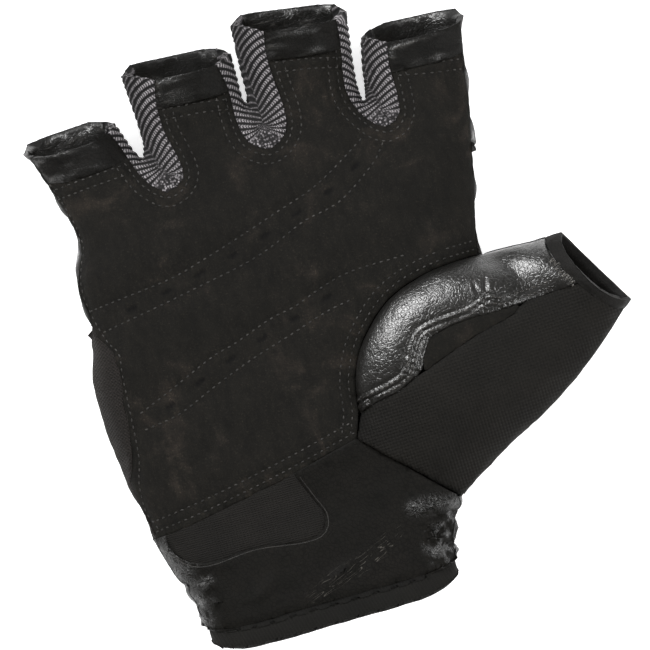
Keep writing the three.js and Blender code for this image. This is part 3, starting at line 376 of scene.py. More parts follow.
def lay_on(piece, rows, lift=THREAD_LIFT):
    """Runs of the rows on the upper side of a piece, with its normal at each place."""
    surface = BVHTree.FromPolygons([v.co for v in piece.data.vertices],
                                   [p.vertices for p in piece.data.polygons])
    runs = []
    for row in rows:
        run = []
        for across, along in row:
            top = Vector(((across + HAND_ORIGIN[0]) * MM, (along + HAND_ORIGIN[1]) * MM, RAY_FROM))
            place, normal, _, _ = surface.ray_cast(top, Vector((0, 0, -1)))
            if place is None or normal.z < FACES_UP:
                runs.append(run)
                run = []
            else:
                run.append((place + normal * lift * MM, normal))
        runs.append(run)
    return [run for run in runs if len(run) > 2]


def sew(name, runs, thread, pitch=STITCH_PITCH, length=STITCH_LENGTH, width=THREAD_WIDTH):
    """A piece of real stitches along the runs."""
    places, normals, edges = [], [], []
    for run in runs:
        first = len(places)
        places += [p for p, _ in run]
        normals += [n for _, n in run]
        edges += [(first + i, first + i + 1) for i in range(len(run) - 1)]
    mesh = bpy.data.meshes.new(name)
    mesh.from_pydata(places, edges, [])
    up = mesh.attributes.new("up", "FLOAT_VECTOR", "POINT")
    up.data.foreach_set("vector", np.array([tuple(n) for n in normals]).ravel())
    piece = bpy.data.objects.new(name, mesh)
    bpy.context.scene.collection.objects.link(piece)
    stitches = piece.modifiers.new("stitches", "NODES")
    stitches.node_group = STITCHES
    given = {"Pitch": pitch * MM, "Length": length * MM, "Width": width * MM,
             "Height": max(THREAD_HEIGHT, THREAD_ROUNDNESS * width) * MM, "Thread": thread}
    for item in STITCHES.interface.items_tree:
        if item.name in given and item.in_out == "INPUT":
            stitches[item.identifier] = given[item.name]
    settle(piece)
    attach(piece, "root")


STITCHES = stitch_maker()


# Finishes

class Finish:
    """A material with a place to add its textures."""

    def __init__(self, name):
        self.material = bpy.data.materials.new(name)
        self.material.use_nodes = True
        self.tree = self.material.node_tree
        self.tree.nodes.clear()
        self.shader = self.add("BsdfPrincipled")
        output = self.add("OutputMaterial")
        self.tree.links.new(self.shader.outputs[0], output.inputs[0])
        self.place = self.add("TexCoord").outputs["Object"]

    def add(self, kind, **settings):
        made = self.tree.nodes.new("ShaderNode" + kind)
        for name, value in settings.items():
            setattr(made, name, value)
        return made

    def feed(self, socket, value):
        if isinstance(value, bpy.types.NodeSocket):
            self.tree.links.new(value, socket)
        else:
            socket.default_value = value

    def shade(self, **values):
        for name, value in values.items():
            self.feed(self.shader.inputs[name.replace("_", " ")], value)

    def field(self, name):
        return self.add("Attribute", attribute_name=name).outputs["Fac"]

    def turned(self, angle=0.0, stretch=(1, 1, 1), place=None):
        """Object coordinates, or others given, stretched and then turned about the vertical."""
        made = self.add("Mapping")
        self.feed(made.inputs["Vector"], place or self.place)
        made.inputs["Rotation"].default_value = (0, 0, angle)
        made.inputs["Scale"].default_value = stretch
        return made.outputs[0]

    def cloudy(self, size, detail=3.0, rough=0.55, place=None, bend=0.0):
        made = self.add("TexNoise")
        self.feed(made.inputs["Vector"], place or self.place)
        made.inputs["Scale"].default_value = 1 / (size * MM)
        made.inputs["Detail"].default_value = detail
        made.inputs["Roughness"].default_value = rough
        made.inputs["Distortion"].default_value = bend
        return made.outputs[0]

    def cells(self, size, place=None, feature="DISTANCE_TO_EDGE", uneven=1.0):
        made = self.add("TexVoronoi", feature=feature)
        self.feed(made.inputs["Vector"], place or self.place)
        made.inputs["Scale"].default_value = 1 / (size * MM)
        made.inputs["Randomness"].default_value = uneven
        return made.outputs[0]

    def math(self, operation, a, b=0.0):
        made = self.add("Math", operation=operation)
        self.feed(made.inputs[0], a)
        self.feed(made.inputs[1], b)
        return made.outputs[0]

    def ranged(self, value, low, high, to_low=0.0, to_high=1.0):
        made = self.add("MapRange", interpolation_type="SMOOTHSTEP")
        for socket, given in zip(made.inputs, (value, low, high, to_low, to_high)):
            self.feed(socket, given)
        return made.outputs[0]

    def off_middle(self, value, middle=0.5):
        return self.math("ABSOLUTE", self.math("SUBTRACT", value, middle))

    def shades(self, value, *stops):
        """Colours along a value, from stops of a position and a colour or a grey."""
        made = self.add("ValToRGB")
        self.feed(made.inputs[0], value)
        ramp = made.color_ramp.elements
        while len(ramp) < len(stops):
            ramp.new(0.5)
        for element, (position, colour) in zip(ramp, stops):
            element.position = position
            element.color = (*(colour if isinstance(colour, tuple) else (colour,) * 3), 1)
        return made.outputs[0]

    def mixed(self, kind, amount, a, b):
        made = self.add("Mix", data_type="RGBA", blend_type=kind)
        self.feed(made.inputs[0], amount)
        self.feed(made.inputs[6], a)
        self.feed(made.inputs[7], b)
        return made.outputs[2]

    def bump(self, height, depth, strength=1.0, under=None):
        made = self.add("Bump")
        made.inputs["Strength"].default_value = strength
        made.inputs["Distance"].default_value = depth * MM
        self.feed(made.inputs["Height"], height)
        if under is not None:
            self.feed(made.inputs["Normal"], under)
        return made.outputs[0]


# Colours of the finishes
SUEDE_BLACK = (0.0066, 0.0062, 0.005)
SUEDE_PLAIN = (0.0085, 0.0079, 0.0063)
SUEDE_WORN = (0.025, 0.0202, 0.016)
# painted shade: the near-black of the vent holes in the suede
PAINTED_VENT_SHADE = (0.002, 0.002, 0.002, 1)
LEATHER_DARK = (0.0068, 0.0064, 0.0051)
LEATHER_PALE = (0.0105, 0.0094, 0.0078)
# painted highlight: the light streaks on the hems and inside the finger mouths
PAINTED_STREAK_HIGHLIGHT = (0.085, 0.079, 0.07, 1)
# painted highlight: the light lines along the cuff's fine creases
PAINTED_CREASE_HIGHLIGHT = (0.085, 0.078, 0.068, 1)
YARN_DARK = (0.0085, 0.008, 0.0082)
YARN_GREY = (0.07, 0.065, 0.068)
YARN_LIGHT = (0.42, 0.395, 0.41)
CLOTH_GROUND = (0.0045, 0.0042, 0.0034)  # black cloth between its threads
THREAD_SUNK = (0.006, 0.0055, 0.0045, 1)

LOOP_PITCH = 0.85  # mm from loop to loop of the knit
CRACK_WANDER = 0.7  # mm that the leather's cracks stray
STREAK_TURN = -0.28
CREASE_TURN = -0.36
ROUGHER = 0.14  # how much rougher worn leather is than the rest
GLOSSIEST = 0.26  # roughness of leather that is stretched smooth
COAT_ROUGHNESS = 0.3
SHINE_ROUGHNESS = 0.38  # of the coat that stands for the shine of stretched leather
SHINE_IOR = 1.6


def suede_finish():
    """Napped black suede with worn brownish patches, pale flecks, and vent slits darkened with painted
    shade as if they were holes.
    """
    f = Finish("black_suede")
    nap = f.cloudy(0.5, detail=4, rough=0.8)
    brushed = f.cloudy(1.6, detail=4, place=f.turned(0.5, (1, 0.35, 1)))
    patches = f.cloudy(13, detail=5, rough=0.62, bend=0.6)
    ground = f.shades(patches, (0.35, SUEDE_BLACK), (0.55, SUEDE_PLAIN), (0.75, SUEDE_WORN))
    flecks = f.shades(nap, (0.3, 0.7), (0.55, 1), (0.64, (1.9, 1.8, 1.75)), (0.74, (5, 4.7, 4.4)))
    lightness = f.shades(brushed, (0.35, 0.85), (0.7, (1.25, 1.22, 1.2)))
    colour = f.mixed("MULTIPLY", 1.0, f.mixed("MULTIPLY", 1.0, ground, flecks), lightness)
    # Painted shade: the vent slits are mixed towards near-black, as the shade inside their holes.
    colour = f.mixed("MIX", f.math("MULTIPLY", f.field("vent"), 0.75), colour, PAINTED_VENT_SHADE)
    relief = f.bump(brushed, 0.3, 0.5)
    f.shade(Base_Color=colour, Roughness=0.9, Specular_IOR_Level=0.1,
            Normal=f.bump(nap, 0.28, 0.8, relief))
    return f.material


def crease_lines(f):
    """Fine broken lines along the cuff's crease band, painted lighter as highlights of fine creases."""
    along = f.turned(0.0, (0.13, 1.0, 0.3), f.turned(CREASE_TURN))
    lines = f.cloudy(1.1, detail=1, rough=0.5, place=along)
    thin = f.ranged(f.off_middle(lines, 0.53), 0.0, 0.02, 1.0, 0.0)
    broken = f.ranged(f.cloudy(2.0, detail=2), 0.4, 0.58)
    return f.math("MULTIPLY", f.math("MULTIPLY", thin, broken), f.field("crease"))


def leather_finish(name, gloss, level, tone=1.0, coat=0.0, cell=1.1, grain=0.06, shiny="", creased=False):
    """Black leather with fine cracks and pores.

    shiny is "streaks" or "crumples", for pieces that record where the leather is stretched
    smooth, and their coat follows that record. With "streaks" the record also paints light
    streaks into the colour as painted highlights. It is empty for the others.
    """
    f = Finish(name)
    stray = f.add("VectorMath", operation="MULTIPLY_ADD")
    f.feed(stray.inputs[0], f.cloudy(3.2, detail=2))
    stray.inputs[1].default_value = (CRACK_WANDER * MM,) * 3
    f.feed(stray.inputs[2], f.place)
    cracks = f.ranged(f.cells(cell, stray.outputs[0]), 0.0, 0.16)
    pores = f.ranged(f.cells(0.45 * cell, stray.outputs[0]), 0.0, 0.3)
    wear = f.cloudy(7, detail=5)
    colour = f.shades(wear, (0.3, tuple(part * tone for part in LEATHER_DARK)),
                      (0.75, tuple(part * tone for part in LEATHER_PALE)))
    colour = f.mixed("MULTIPLY", 0.6, colour, f.shades(cracks, (0, 0.3), (1, 1)))
    rough = f.ranged(wear, 0.3, 0.75, gloss, gloss + ROUGHER)
    wrinkles = f.off_middle(f.cloudy(4.5, detail=3, rough=0.6))
    relief = f.bump(f.ranged(wrinkles, 0.0, 0.05), 0.06, 0.3)
    if shiny:
        shine = f.field("shine")
        rough = f.math("SUBTRACT", rough, f.math("MULTIPLY", shine, gloss - GLOSSIEST))
        coat = shine
        f.shade(Coat_IOR=SHINE_IOR)
    if shiny == "streaks":
        drawn = f.cloudy(1.5, detail=4, rough=0.65, place=f.turned(STREAK_TURN, (0.22, 1, 1)), bend=0.4)
        relief = f.bump(f.math("MULTIPLY", drawn, shine), 0.3, 0.85, relief)
        # Painted highlight: a lighter colour is mixed in along the drawn streaks where shine is recorded.
        lightness = f.math("MULTIPLY", f.math("MULTIPLY", f.ranged(drawn, 0.52, 0.68), shine), 0.6)
        colour = f.mixed("MIX", lightness, colour, PAINTED_STREAK_HIGHLIGHT)
    if shiny == "crumples":
        folded = f.ranged(f.off_middle(f.cloudy(2.4, detail=3, bend=1.2)), 0.0, 0.12)
        relief = f.bump(f.math("MULTIPLY", folded, shine), 0.8, 0.85, relief)
    if creased:
        # Painted highlight: lighter lines along the crease band stand for light on fine creases.
        colour = f.mixed("MIX", crease_lines(f), colour, PAINTED_CREASE_HIGHLIGHT)
    height = f.math("ADD", f.math("MULTIPLY", cracks, 0.7), f.math("MULTIPLY", pores, 0.3))
    normal = f.bump(height, grain, 0.9, relief)
    f.shade(Base_Color=colour, Roughness=rough, Specular_IOR_Level=level, Coat_Weight=coat,
            Coat_Roughness=SHINE_ROUGHNESS if shiny else COAT_ROUGHNESS, Normal=normal,
            Coat_Normal=normal)
    return f.material


def knit_finish():
    """Ribbed knit: light ribs of twisted yarn over a dark ground, bunched into loops, with painted shade
    where it turns down into the gap between the fingers and in the crotch slit.
    """
    f = Finish("grey_rib_knit")
    rib = f.field("rib")
    deep = f.field("deep")
    gather = f.field("gather")
    slant = f.math("MULTIPLY", f.off_middle(f.math("FRACT", rib)), 9.0)
    course = f.math("MULTIPLY", f.field("course"), 2 * math.pi / LOOP_PITCH)
    loops = f.math("SINE", f.math("ADD", course, slant))
    # Painted shade: where the knit is deep, in the gap and the crotch slit, its ribs are lowered and its
    # loops smoothed into darker colour.
    ridge = f.math("SUBTRACT", f.math("COSINE", f.math("MULTIPLY", rib, 2 * math.pi)),
                   f.math("MULTIPLY", deep, 0.75))
    ridge = f.ranged(ridge, -0.75, 0.3)
    fuzz = f.cloudy(0.35, detail=3)
    bunched = f.ranged(f.cells(LOOP_PITCH, feature="F1", uneven=0.75), 0.2, 0.62, 1.0, 0.05)
    yarn = f.math("MAXIMUM", f.ranged(loops, -0.7, 0.5, 0.3, 1.0),
                  f.ranged(deep, 0.3, 0.9, 0.0, 0.85))
    light = f.math("MULTIPLY", f.math("MULTIPLY", ridge, yarn), f.math("SUBTRACT", 1.0, gather))
    light = f.math("ADD", light, f.math("MULTIPLY", bunched, gather))
    light = f.math("MULTIPLY", light, f.ranged(fuzz, 0.25, 0.75, 0.55, 1.3))
    # Painted shade: darker still where the knit is deep.
    light = f.math("MULTIPLY", light, f.ranged(deep, 0.0, 1.0, 1.0, 0.62))
    colour = f.shades(light, (0.0, YARN_DARK), (0.4, YARN_GREY), (1.0, YARN_LIGHT))
    relief = f.bump(light, 0.3, 0.8)
    f.shade(Base_Color=colour, Roughness=0.9, Sheen_Weight=0.05, Specular_IOR_Level=0.15,
            Normal=f.bump(fuzz, 0.1, 0.6, relief))
    return f.material


def weave_finish(name, angle, ribs, picks, light, relief, dots=0.4):
    """Woven black cloth: ribs and picks at two pitches in mm, and dots where they cross."""
    f = Finish(name)
    parts = f.add("SeparateXYZ")
    f.feed(parts.inputs[0], f.turned(angle))
    rib = f.math("SINE", f.math("MULTIPLY", parts.outputs[1], 2 * math.pi / (ribs * MM)))
    pick = f.math("SINE", f.math("MULTIPLY", parts.outputs[0], 2 * math.pi / (picks * MM)))
    cross = f.math("MULTIPLY", rib, pick)
    height = f.math("ADD", f.math("MULTIPLY", rib, 1 - dots), f.math("MULTIPLY", cross, dots))
    fuzz = f.cloudy(0.4, detail=3)
    broad = f.cloudy(14, detail=3)
    raised = f.math("ADD", f.math("MULTIPLY", height, 0.35), f.ranged(fuzz, 0.2, 0.8, 0.2, 0.8))
    colour = f.shades(raised, (0.1, CLOTH_GROUND), (0.95, light))
    shade = f.shades(broad, (0.3, 0.7), (0.7, (1.2, 1.18, 1.16)))
    f.shade(Base_Color=f.mixed("MULTIPLY", 0.8, colour, shade), Roughness=0.85,
            Specular_IOR_Level=0.12, Normal=f.bump(fuzz, 0.06, 0.5, f.bump(height, relief, 0.8)))
    return f.material


def thread_finish(name, colour, rough=0.55):
    """Thread whose stitches show more in some places than in others."""
    f = Finish(name)
    twist = f.cloudy(0.25, detail=2)
    fading = f.ranged(f.cloudy(3.5, detail=3, rough=0.7), 0.38, 0.64, 0.12, 0.95)
    shade = f.shades(twist, (0.3, tuple(0.5 * part for part in colour)), (0.7, colour))
    shade = f.mixed("MIX", fading, THREAD_SUNK, shade)
    f.shade(Base_Color=shade, Roughness=rough, Specular_IOR_Level=0.3,
            Normal=f.bump(twist, 0.08, 0.7))
    return f.material


suede = suede_finish()
smooth_leather = leather_finish("smooth_leather", gloss=0.4, level=0.4, coat=0.15)
glossy_leather = leather_finish("glossy_thumb_leather", gloss=0.45, level=0.15, coat=1.0,
                                cell=1.15, grain=0.065)
streaked_leather = leather_finish("streaked_hem_leather", gloss=0.55, level=0.09, tone=0.75,
                                  shiny="streaks")
knuckle_cover = leather_finish("knuckle_leather", gloss=0.48, level=0.22, tone=0.85,
                               shiny="streaks")
soft_leather = leather_finish("soft_cuff_leather", gloss=0.62, level=0.06, tone=0.9,
                              shiny="crumples", creased=True)
dull_leather = leather_finish("dull_leather", gloss=0.62, level=0.12, tone=0.8)
knit = knit_finish()
back_weave = weave_finish("back_mesh_weave", 0.1, 1.0, 1.0, (0.023, 0.019, 0.0168), 0.16, dots=0.8)
gusset_weave = weave_finish("gusset_weave", 0.75, 1.25, 1.25, (0.0125, 0.0113, 0.0094), 0.12,
                            dots=0.85)
stretch_weave = weave_finish("stretch_weave", 0.02, 0.6, 0.9, (0.0125, 0.0112, 0.0095), 0.12)
tape_weave = weave_finish("binding_tape", 1.3, 0.9, 0.6, (0.0088, 0.0082, 0.0068), 0.06)
grey_thread = thread_finish("grey_thread", (0.055, 0.05, 0.045))
seam_thread = thread_finish("seam_thread", (0.035, 0.032, 0.027))
waxed_thread = thread_finish("waxed_thread", (0.07, 0.065, 0.059), rough=0.28)
tack_thread = thread_finish("tack_thread", (0.16, 0.15, 0.135), rough=0.3)


# Stitched rows on the palm, two along each seam, at these distances from it in mm
KNIT_ROWS = (1.7, 4.2)
FOOT_ROWS = (1.7, 4.6)
ARC_ROWS = (1.6, 4.0)
HEM_ROWS = (1.6, 4.4)

crotch_lines = {name: smooth_line(points) for name, points in KNIT_SEAMS.items()}
palm_rows = [smooth_line(row) for row in CHANNEL_ROWS]
palm_rows += [beside(line[4:-4], -away) for line in crotch_lines.values() for away in KNIT_ROWS]
palm_rows += [beside(smooth_line(PALM_FOOT), away) for away in FOOT_ROWS]
palm_rows += [beside(smooth_line(THUMB_ARC)[1:-2], away) for away in ARC_ROWS]
palm_rows += [smooth_line(LITTLE_SIDE)]
palm_rows += [smooth_line(hem) - [0, away] for hem in FINGER_HEMS for away in HEM_ROWS]


# The palm

ROW_DEPTH = 0.35
ROW_WIDTH = 0.8
VENT_DEPTH = 0.3


def vents_at(places):
    """1 inside a vent slit and 0 outside, with slits spaced along the two channels."""
    inside = np.zeros(len(places))
    for points in VENT_CHANNELS:
        off, along = near_line(places[:, :2], smooth_line(points))
        slot = (along / VENT_PITCH) % 1 - 0.5
        reach = np.hypot(slot * VENT_PITCH / (VENT_LENGTH / 2), off / (VENT_WIDTH / 2))
        inside = np.maximum(inside, 1 - ease(reach, 0.75, 1.1))
    return inside


def make_palm():
    wall = Sewn("palm_panel", 3)
    hand = wall.hand
    upper = ease(wall.way[:, 2], 0.2, 0.6)
    height = grooves(hand, palm_rows, ROW_DEPTH, ROW_WIDTH)
    height += 0.3 * uneven(hand, 13, 1) + 0.08 * uneven(hand, 4.5, 2)
    height -= 0.12 * crinkles(hand, 9, 0.08, 5)
    vent = vents_at(hand) * upper
    height -= VENT_DEPTH * vent
    wall.shape(height * upper)
    # The vent record also tells the suede where to paint the shade of the holes.
    record_on(wall.piece, "vent", vent)
    return wall.wear(suede, "suede")


# Knit between the fingers

RIB_PITCH = 1.95
RIB_HEIGHT = 0.5
RIB_LEAN = 0.3
RIB_BEND = 0.03
LOOP_HEIGHT = 0.45
SLIT_DEPTH = 0.7
SLIT_WIDTH = 0.45
CROTCH_SLIT = [(-1.6, 4.6), (-0.6, 3.2), (1.2, 2.4), (2.2, 1.2)]  # mm from the crotch's foot


def make_fourchette(name):
    wall = Sewn("fourchette_" + name, 3)
    hand = wall.hand
    seam = crotch_lines[name]
    off, along = near_line(hand[:, :2], seam)
    lowest = np.argmin(seam[:, 1])
    along_lowest = np.linalg.norm(np.diff(seam[:lowest + 1], axis=0), axis=1).sum()
    from_crotch = np.abs(along - along_lowest)
    inward = off + 0.35 * (hand[:, 2].max() - hand[:, 2])
    lean = ease(from_crotch, 2, 9)
    rib = (from_crotch + lean * (RIB_LEAN * inward + RIB_BEND * inward ** 2)) / RIB_PITCH
    slit, _ = near_line(hand[:, :2], seam[lowest] + np.array(CROTCH_SLIT))
    gather = 1 - ease(np.hypot(from_crotch, 0.5 * off), 3.5, 6.5)
    height = RIB_HEIGHT * (0.5 + 0.5 * np.cos(2 * math.pi * rib)) * (1 - 0.8 * gather) - 0.12
    height += gather * (LOOP_HEIGHT * uneven(hand, 2.2, 4) - 0.2 * crinkles(hand, 4, 0.1, 6))
    height -= SLIT_DEPTH * on_line(slit, SLIT_WIDTH)
    wall.shape(height, roll=0.15)
    record_on(wall.piece, "rib", rib)
    record_on(wall.piece, "gather", gather)
    # deep: how far the knit turns down into the gap, and the crotch slit, for the painted shade in the
    # knit's colour
    record_on(wall.piece, "deep", np.maximum(ease(inward, 2.5, 9) * (1 - gather),
                                             1.4 * on_line(slit, 0.5)))
    record_on(wall.piece, "course", inward - 0.6 * lean * from_crotch)
    wall.wear(knit, "knit")


# Leather and woven pieces

ALONG_HEM = [0.2, 1, 1]  # draws the unevenness out along a hem


def make_hem(node):
    """A turned hem, streaked and shiny along its seam towards the left, with its streaks painted into the
    colour as painted highlights.
    """
    wall = Sewn(node, 3)
    hand = wall.hand
    height = 0.07 * uneven(hand * [0.4, 1, 1], 4, 3)
    height -= 0.06 * crinkles(hand * [0.25, 1, 1], 3, 0.12, 8)
    wall.shape(height, roll=0.3)
    across = (hand[:, 0] - hand[:, 0].min()) / np.ptp(hand[:, 0])
    low = on_line(wall.rim - 1.2, 0.9) * (1 - ease(across, 0.5, 0.8))
    low *= ease(uneven(hand * ALONG_HEM, 2.5, 21), -0.2, 0.3)
    middle = 0.5 * ease(uneven(hand * ALONG_HEM, 3.5, 22), 0.1, 0.5) * (1 - ease(across, 0.3, 0.6))
    # shine: where the hem is glossier, and where its painted highlight streaks go
    record_on(wall.piece, "shine", np.maximum(low, middle))
    wall.wear(streaked_leather, "leather")


def make_knuckles():
    """The leather back of the fingers, shiny inside their mouths, with painted highlight streaks there.
    """
    wall = Sewn("knuckle_leather", 2)
    hand = wall.hand
    height = 0.2 * uneven(hand, 14, 4, 2) - 0.12 * crinkles(hand * [1, 1.8, 1], 14, 0.12, 9)
    wall.shape(height * ease(hand[:, 2], 0.5, 4))
    # shine inside the mouths: glossier leather there, and painted highlight streaks in its colour
    inner = ease(wall.way[:, 2], -0.2, 0.5) * ease(hand[:, 1], 104, 112)
    record_on(wall.piece, "shine", inner * ease(uneven(hand * [0.25, 1, 1], 5, 23), 0.05, 0.5))
    wall.wear(knuckle_cover, "leather")


# A cluster of fine creases, painted as highlight lines, the crumpled gathers and the soft bulges of the
# cuff, in mm
CREASE_BAND = [(-8, 5.6), (0, 9.2), (8, 11.6), (14, 13.6), (20.5, 17.5)]
CREASE_REACH = 3.0
CUFF_GATHERS = [
    {"at": (33, 11), "reach": (6.5, 7), "deep": 0.75},
    {"at": (38, 17), "reach": (4, 3), "deep": 0.5},
    {"at": (-36.5, 12.5), "reach": (3.5, 5), "deep": 0.35},
    {"at": (-39, 26), "reach": (3.5, 6), "deep": 0.25},
]
CUFF_BULGES = [
    {"line": [(28, 22.6), (35, 22.2), (41, 20.6)], "width": 1.9, "rise": 0.9},
    {"line": [(-37, 9), (-37.5, 16)], "width": 2.8, "rise": 0.9},
    {"line": [(-39, 22.5), (-41, 30)], "width": 3.2, "rise": 0.8},
    {"line": [(-32, 19.6), (-39, 19.2)], "width": 1.2, "rise": -0.9},
]
BINDING_REACH = (8, 10)  # mm up the hand to where the cuff lies under the binding


def make_cuff(node):
    wall = Sewn(node, 3)
    hand = wall.hand
    plan = hand[:, :2]
    height = 0.22 * uneven(hand * [0.4, 1.2, 0.5], 11, 5, 2)
    shine = np.zeros(len(hand))
    for gather in CUFF_GATHERS:
        reach = np.hypot(*((plan - gather["at"]) / gather["reach"]).T)
        near = 1 - ease(reach, 0.55, 1.1)
        height -= 0.6 * gather["deep"] * near * crinkles(hand * [0.8, 1.1, 0.8], 4.2, 0.3, 13)
        height += 0.2 * gather["deep"] * near * uneven(hand, 3.2, 16)
        shine = np.maximum(shine, near * ease(uneven(hand, 2.6, 17), -0.15, 0.35))
    for bulge in CUFF_BULGES:
        off, _ = near_line(plan, smooth_line(bulge["line"]))
        height += bulge["rise"] * on_line(off, bulge["width"])
        shine = np.maximum(shine, 0.7 * on_line(off, bulge["width"]))
    under = 1 - ease(hand[:, 1], *BINDING_REACH)
    wall.shape(height * (1 - 0.8 * under), roll=0.2 + 0.6 * under, join=0.28 + 1.1 * under)
    record_on(wall.piece, "shine", np.clip(shine, 0, 1))
    if node == "cuff_palm":
        # The crease band marks where the cuff's fine creases are painted as highlight lines.
        off, along = near_line(plan, smooth_line(CREASE_BAND))
        band = (1 - ease(off, CREASE_REACH * 0.6, CREASE_REACH)) * ease(along, 0, 4)
        record_on(wall.piece, "crease", band)
    return wall.wear(soft_leather, "leather")


# The thumb's pad, with lengths in mm
PAD_CREASES = [
    {"line": [(62.3, 72.5), (64.2, 80.5)], "depth": 0.5, "width": 0.45},
    {"line": [(61.2, 72.6), (60.4, 76), (60.2, 80.5)], "depth": 0.22, "width": 0.3},
    {"line": [(60, 72), (57.5, 75), (56, 79)], "depth": 0.16, "width": 0.3},
    {"line": [(63.4, 72.8), (66, 76.5), (67.4, 80.5)], "depth": 0.22, "width": 0.3},
    {"line": [(64.4, 72.4), (68.2, 75), (70.8, 79)], "depth": 0.16, "width": 0.3},
    {"line": [(47, 71), (44.5, 74), (43.5, 77)], "depth": 0.14, "width": 0.3},
    {"line": [(38, 63), (35.5, 66), (33, 68)], "depth": 0.14, "width": 0.3},
]
WELT_ROWS = (1.0, 2.7)  # mm in from the pad's lower seam
WELT_FOLDS = (1.85, 3.7)
WELT_HEIGHT = 0.42
FOLD_DEPTH = 0.45
PAD_STITCH_PITCH = 1.7
BAR_TACK = [(82.9, 78.6), (87.0, 69.2)]
TACK_REACH = 1.5
TACK_PITCH = 1.15
TACK_DEPTH = 0.3
TACK_STEPS = 9  # places along each leg of the zigzag, with both ends


def bar_tack():
    """The zigzag that closes the pad at the thumb's mouth."""
    start, end = np.array(BAR_TACK)
    run = end - start
    count = int(np.linalg.norm(run) / TACK_PITCH) * 2
    side = np.array([-run[1], run[0]]) / np.linalg.norm(run)
    corners = [start + run * i / count + side * TACK_REACH * (-1) ** i for i in range(count + 1)]
    rows = [np.linspace(a, b, TACK_STEPS)[:-1] for a, b in zip(corners, corners[1:])]
    return np.vstack(rows)


def make_thumb_pad():
    """The padded leather with its double welt, fine creases and the dent of the bar tack."""
    wall = Sewn("thumb_pad", 3)
    hand = wall.hand
    plan = hand[:, :2]
    seam = smooth_line(PAD_SEAM)
    upper = ease(wall.way[:, 2], -0.1, 0.3)
    from_seam, along = near_line(plan, seam)
    bead = 0.7 + 0.3 * np.cos(2 * math.pi * along / PAD_STITCH_PITCH)
    height = sum(WELT_HEIGHT * bead * on_line(from_seam - row, 0.55) for row in WELT_ROWS)
    height -= sum(FOLD_DEPTH * on_line(from_seam - fold, 0.35) for fold in WELT_FOLDS)
    height *= 1 - ease(along, 52, 60)
    for crease in PAD_CREASES:
        off, gone = near_line(plan, smooth_line(crease["line"]))
        fade = (1 - ease(gone, 3, 9)) * crease["depth"]
        height -= fade * on_line(off, crease["width"])
        height += 0.4 * fade * on_line(off - 2.4 * crease["width"], 0.6)
    tack, _ = near_line(plan, np.array(BAR_TACK))
    height -= TACK_DEPTH * on_line(tack, 2)
    height += 0.22 * uneven(hand, 9, 6, 2) - 0.06 * crinkles(hand, 5, 0.14, 11)
    wall.shape(height * upper, roll=0.5)
    return wall.wear(glossy_leather, "leather"), [beside(seam, row) for row in WELT_ROWS]


# Plain pieces, then all pieces and their stitches

def make_plain(node, levels, material, slot, size, swell):
    """A piece with soft swells in mm of that size, fading out towards the floor."""
    wall = Sewn(node, levels)
    height = swell * uneven(wall.hand, size, 12)
    wall.shape(height * ease(wall.hand[:, 2], 0.3, 2.5))
    return wall.wear(material, slot)


palm = make_palm()
for gap in KNIT_SEAMS:
    make_fourchette(gap)
for finger in ("little", "ring", "middle", "index"):
    make_hem(finger + "_hem")
make_knuckles()
cuff = make_cuff("cuff_palm")
make_cuff("cuff_back")
pad, pad_rows = make_thumb_pad()
insert = make_plain("thumb_insert", 3, suede, "suede", 6, 0.15)
record_on(insert, "vent", np.zeros(len(insert.data.vertices)))  # the insert has no slits
make_plain("thumb_mesh", 2, gusset_weave, "mesh", 12, 0.5)
make_plain("thumb_back", 2, smooth_leather, "leather", 9, 0.3)
make_plain("thumb_hem_palm", 3, dull_leather, "leather", 6, 0.2)
make_plain("thumb_hem_back", 3, dull_leather, "leather", 6, 0.2)
make_plain("back_mesh", 2, back_weave, "mesh", 14, 0.3)
make_plain("stretch_panel", 3, stretch_weave, "stretch", 9, 0.35)
make_plain("wrist_binding", 3, tape_weave, "binding", 8, 0.2)
make_plain("closure_tab", 3, tape_weave, "binding", 8, 0.0)

stretch_edge = beside(smooth_line(STRETCH_FOOT), STRETCH_EDGE)
sew("palm_stitches", lay_on(palm, palm_rows), grey_thread)
sew("thumb_pad_stitches", lay_on(pad, pad_rows, lift=0.0), waxed_thread,
    pitch=PAD_STITCH_PITCH, length=1.5, width=0.62)
sew("thumb_bar_tack", lay_on(pad, [bar_tack()], lift=0.1), tack_thread,
    pitch=0.62, length=0.85, width=0.45)
sew("stretch_seam", lay_on(cuff, [stretch_edge], lift=0.0), seam_thread,
    pitch=0.6, length=0.9, width=0.3)


# Floor, light and camera

FLOOR_REACH = 4.0
FLOOR_GLOW = 0.62  # the floor shines a little itself, so it stays white beside the glove
LIT_PLACE = Vector((0, 0, 0.015))  # m, where all lights point
ROOM_GLOW = 0.06


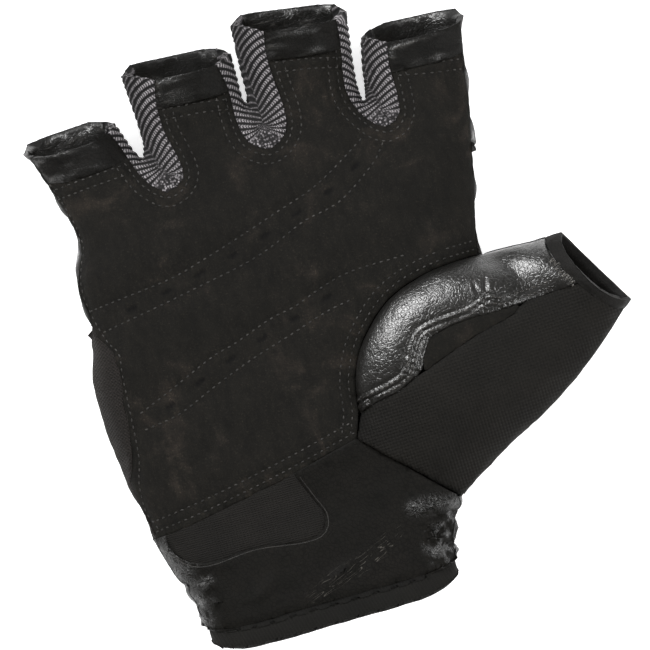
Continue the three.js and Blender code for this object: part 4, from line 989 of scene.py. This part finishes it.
def floor():
    mesh = bpy.data.meshes.new("floor")
    corners = [(-1, -1), (1, -1), (1, 1), (-1, 1)]
    mesh.from_pydata([(FLOOR_REACH * x, FLOOR_REACH * y, 0) for x, y in corners], [], [(0, 1, 2, 3)])
    piece = bpy.data.objects.new("floor", mesh)
    bpy.context.scene.collection.objects.link(piece)
    f = Finish("pale_floor")
    f.shade(Base_Color=f.shades(f.cloudy(60, detail=2), (0.3, 0.93), (0.7, 0.96)), Roughness=0.9,
            Emission_Color=(1, 1, 1, 1), Emission_Strength=FLOOR_GLOW)
    mesh.materials.append(f.material)


def softbox(name, place, size, power):
    light = bpy.data.lights.new(name, "AREA")
    light.shape = "RECTANGLE"
    light.size, light.size_y = size
    light.energy = power
    lamp = bpy.data.objects.new(name, light)
    lamp.location = place
    lamp.rotation_euler = (LIT_PLACE - Vector(place)).to_track_quat("-Z", "Y").to_euler()
    lamp.visible_camera = False
    bpy.context.scene.collection.objects.link(lamp)
    return lamp


CAMERA_OVER = (18.0, 78.0)  # mm on the hand
CAMERA_TURN = math.radians(-16)
CAMERA_HEIGHT = 1.5
SENSOR_WIDTH = 36
VIEW_WIDTH = 0.1806  # m across the picture
VIEW_LEVEL = 0.014  # at this height


def camera():
    data = bpy.data.cameras.new("camera")
    data.sensor_width = SENSOR_WIDTH
    data.lens = SENSOR_WIDTH * (CAMERA_HEIGHT - VIEW_LEVEL) / VIEW_WIDTH
    data.clip_end = 20
    eye = bpy.data.objects.new("camera", data)
    over = (np.array([*CAMERA_OVER, 0]) + HAND_ORIGIN) * MM
    eye.location = (over[0], over[1], CAMERA_HEIGHT)
    eye.rotation_euler = (0, 0, CAMERA_TURN)
    bpy.context.scene.collection.objects.link(eye)
    bpy.context.scene.camera = eye


floor()
# Places and sizes in m, and powers in W
softbox("key_light", (-0.45, 0.82, 0.8), (0.6, 0.6), 36).visible_diffuse = False
softbox("fill_light", (0.0, 0.0, 1.3), (3.4, 3.4), 76).visible_glossy = False
softbox("side_light", (0.9, -0.5, 0.7), (0.4, 0.6), 12).visible_diffuse = False
camera()
scene = bpy.context.scene
scene.view_settings.view_transform = "Standard"
scene.world = bpy.data.worlds.new("pale_room")
scene.world.use_nodes = True
room = scene.world.node_tree.nodes["Background"]
room.inputs["Color"].default_value = (1, 1, 1, 1)
room.inputs["Strength"].default_value = ROOM_GLOW
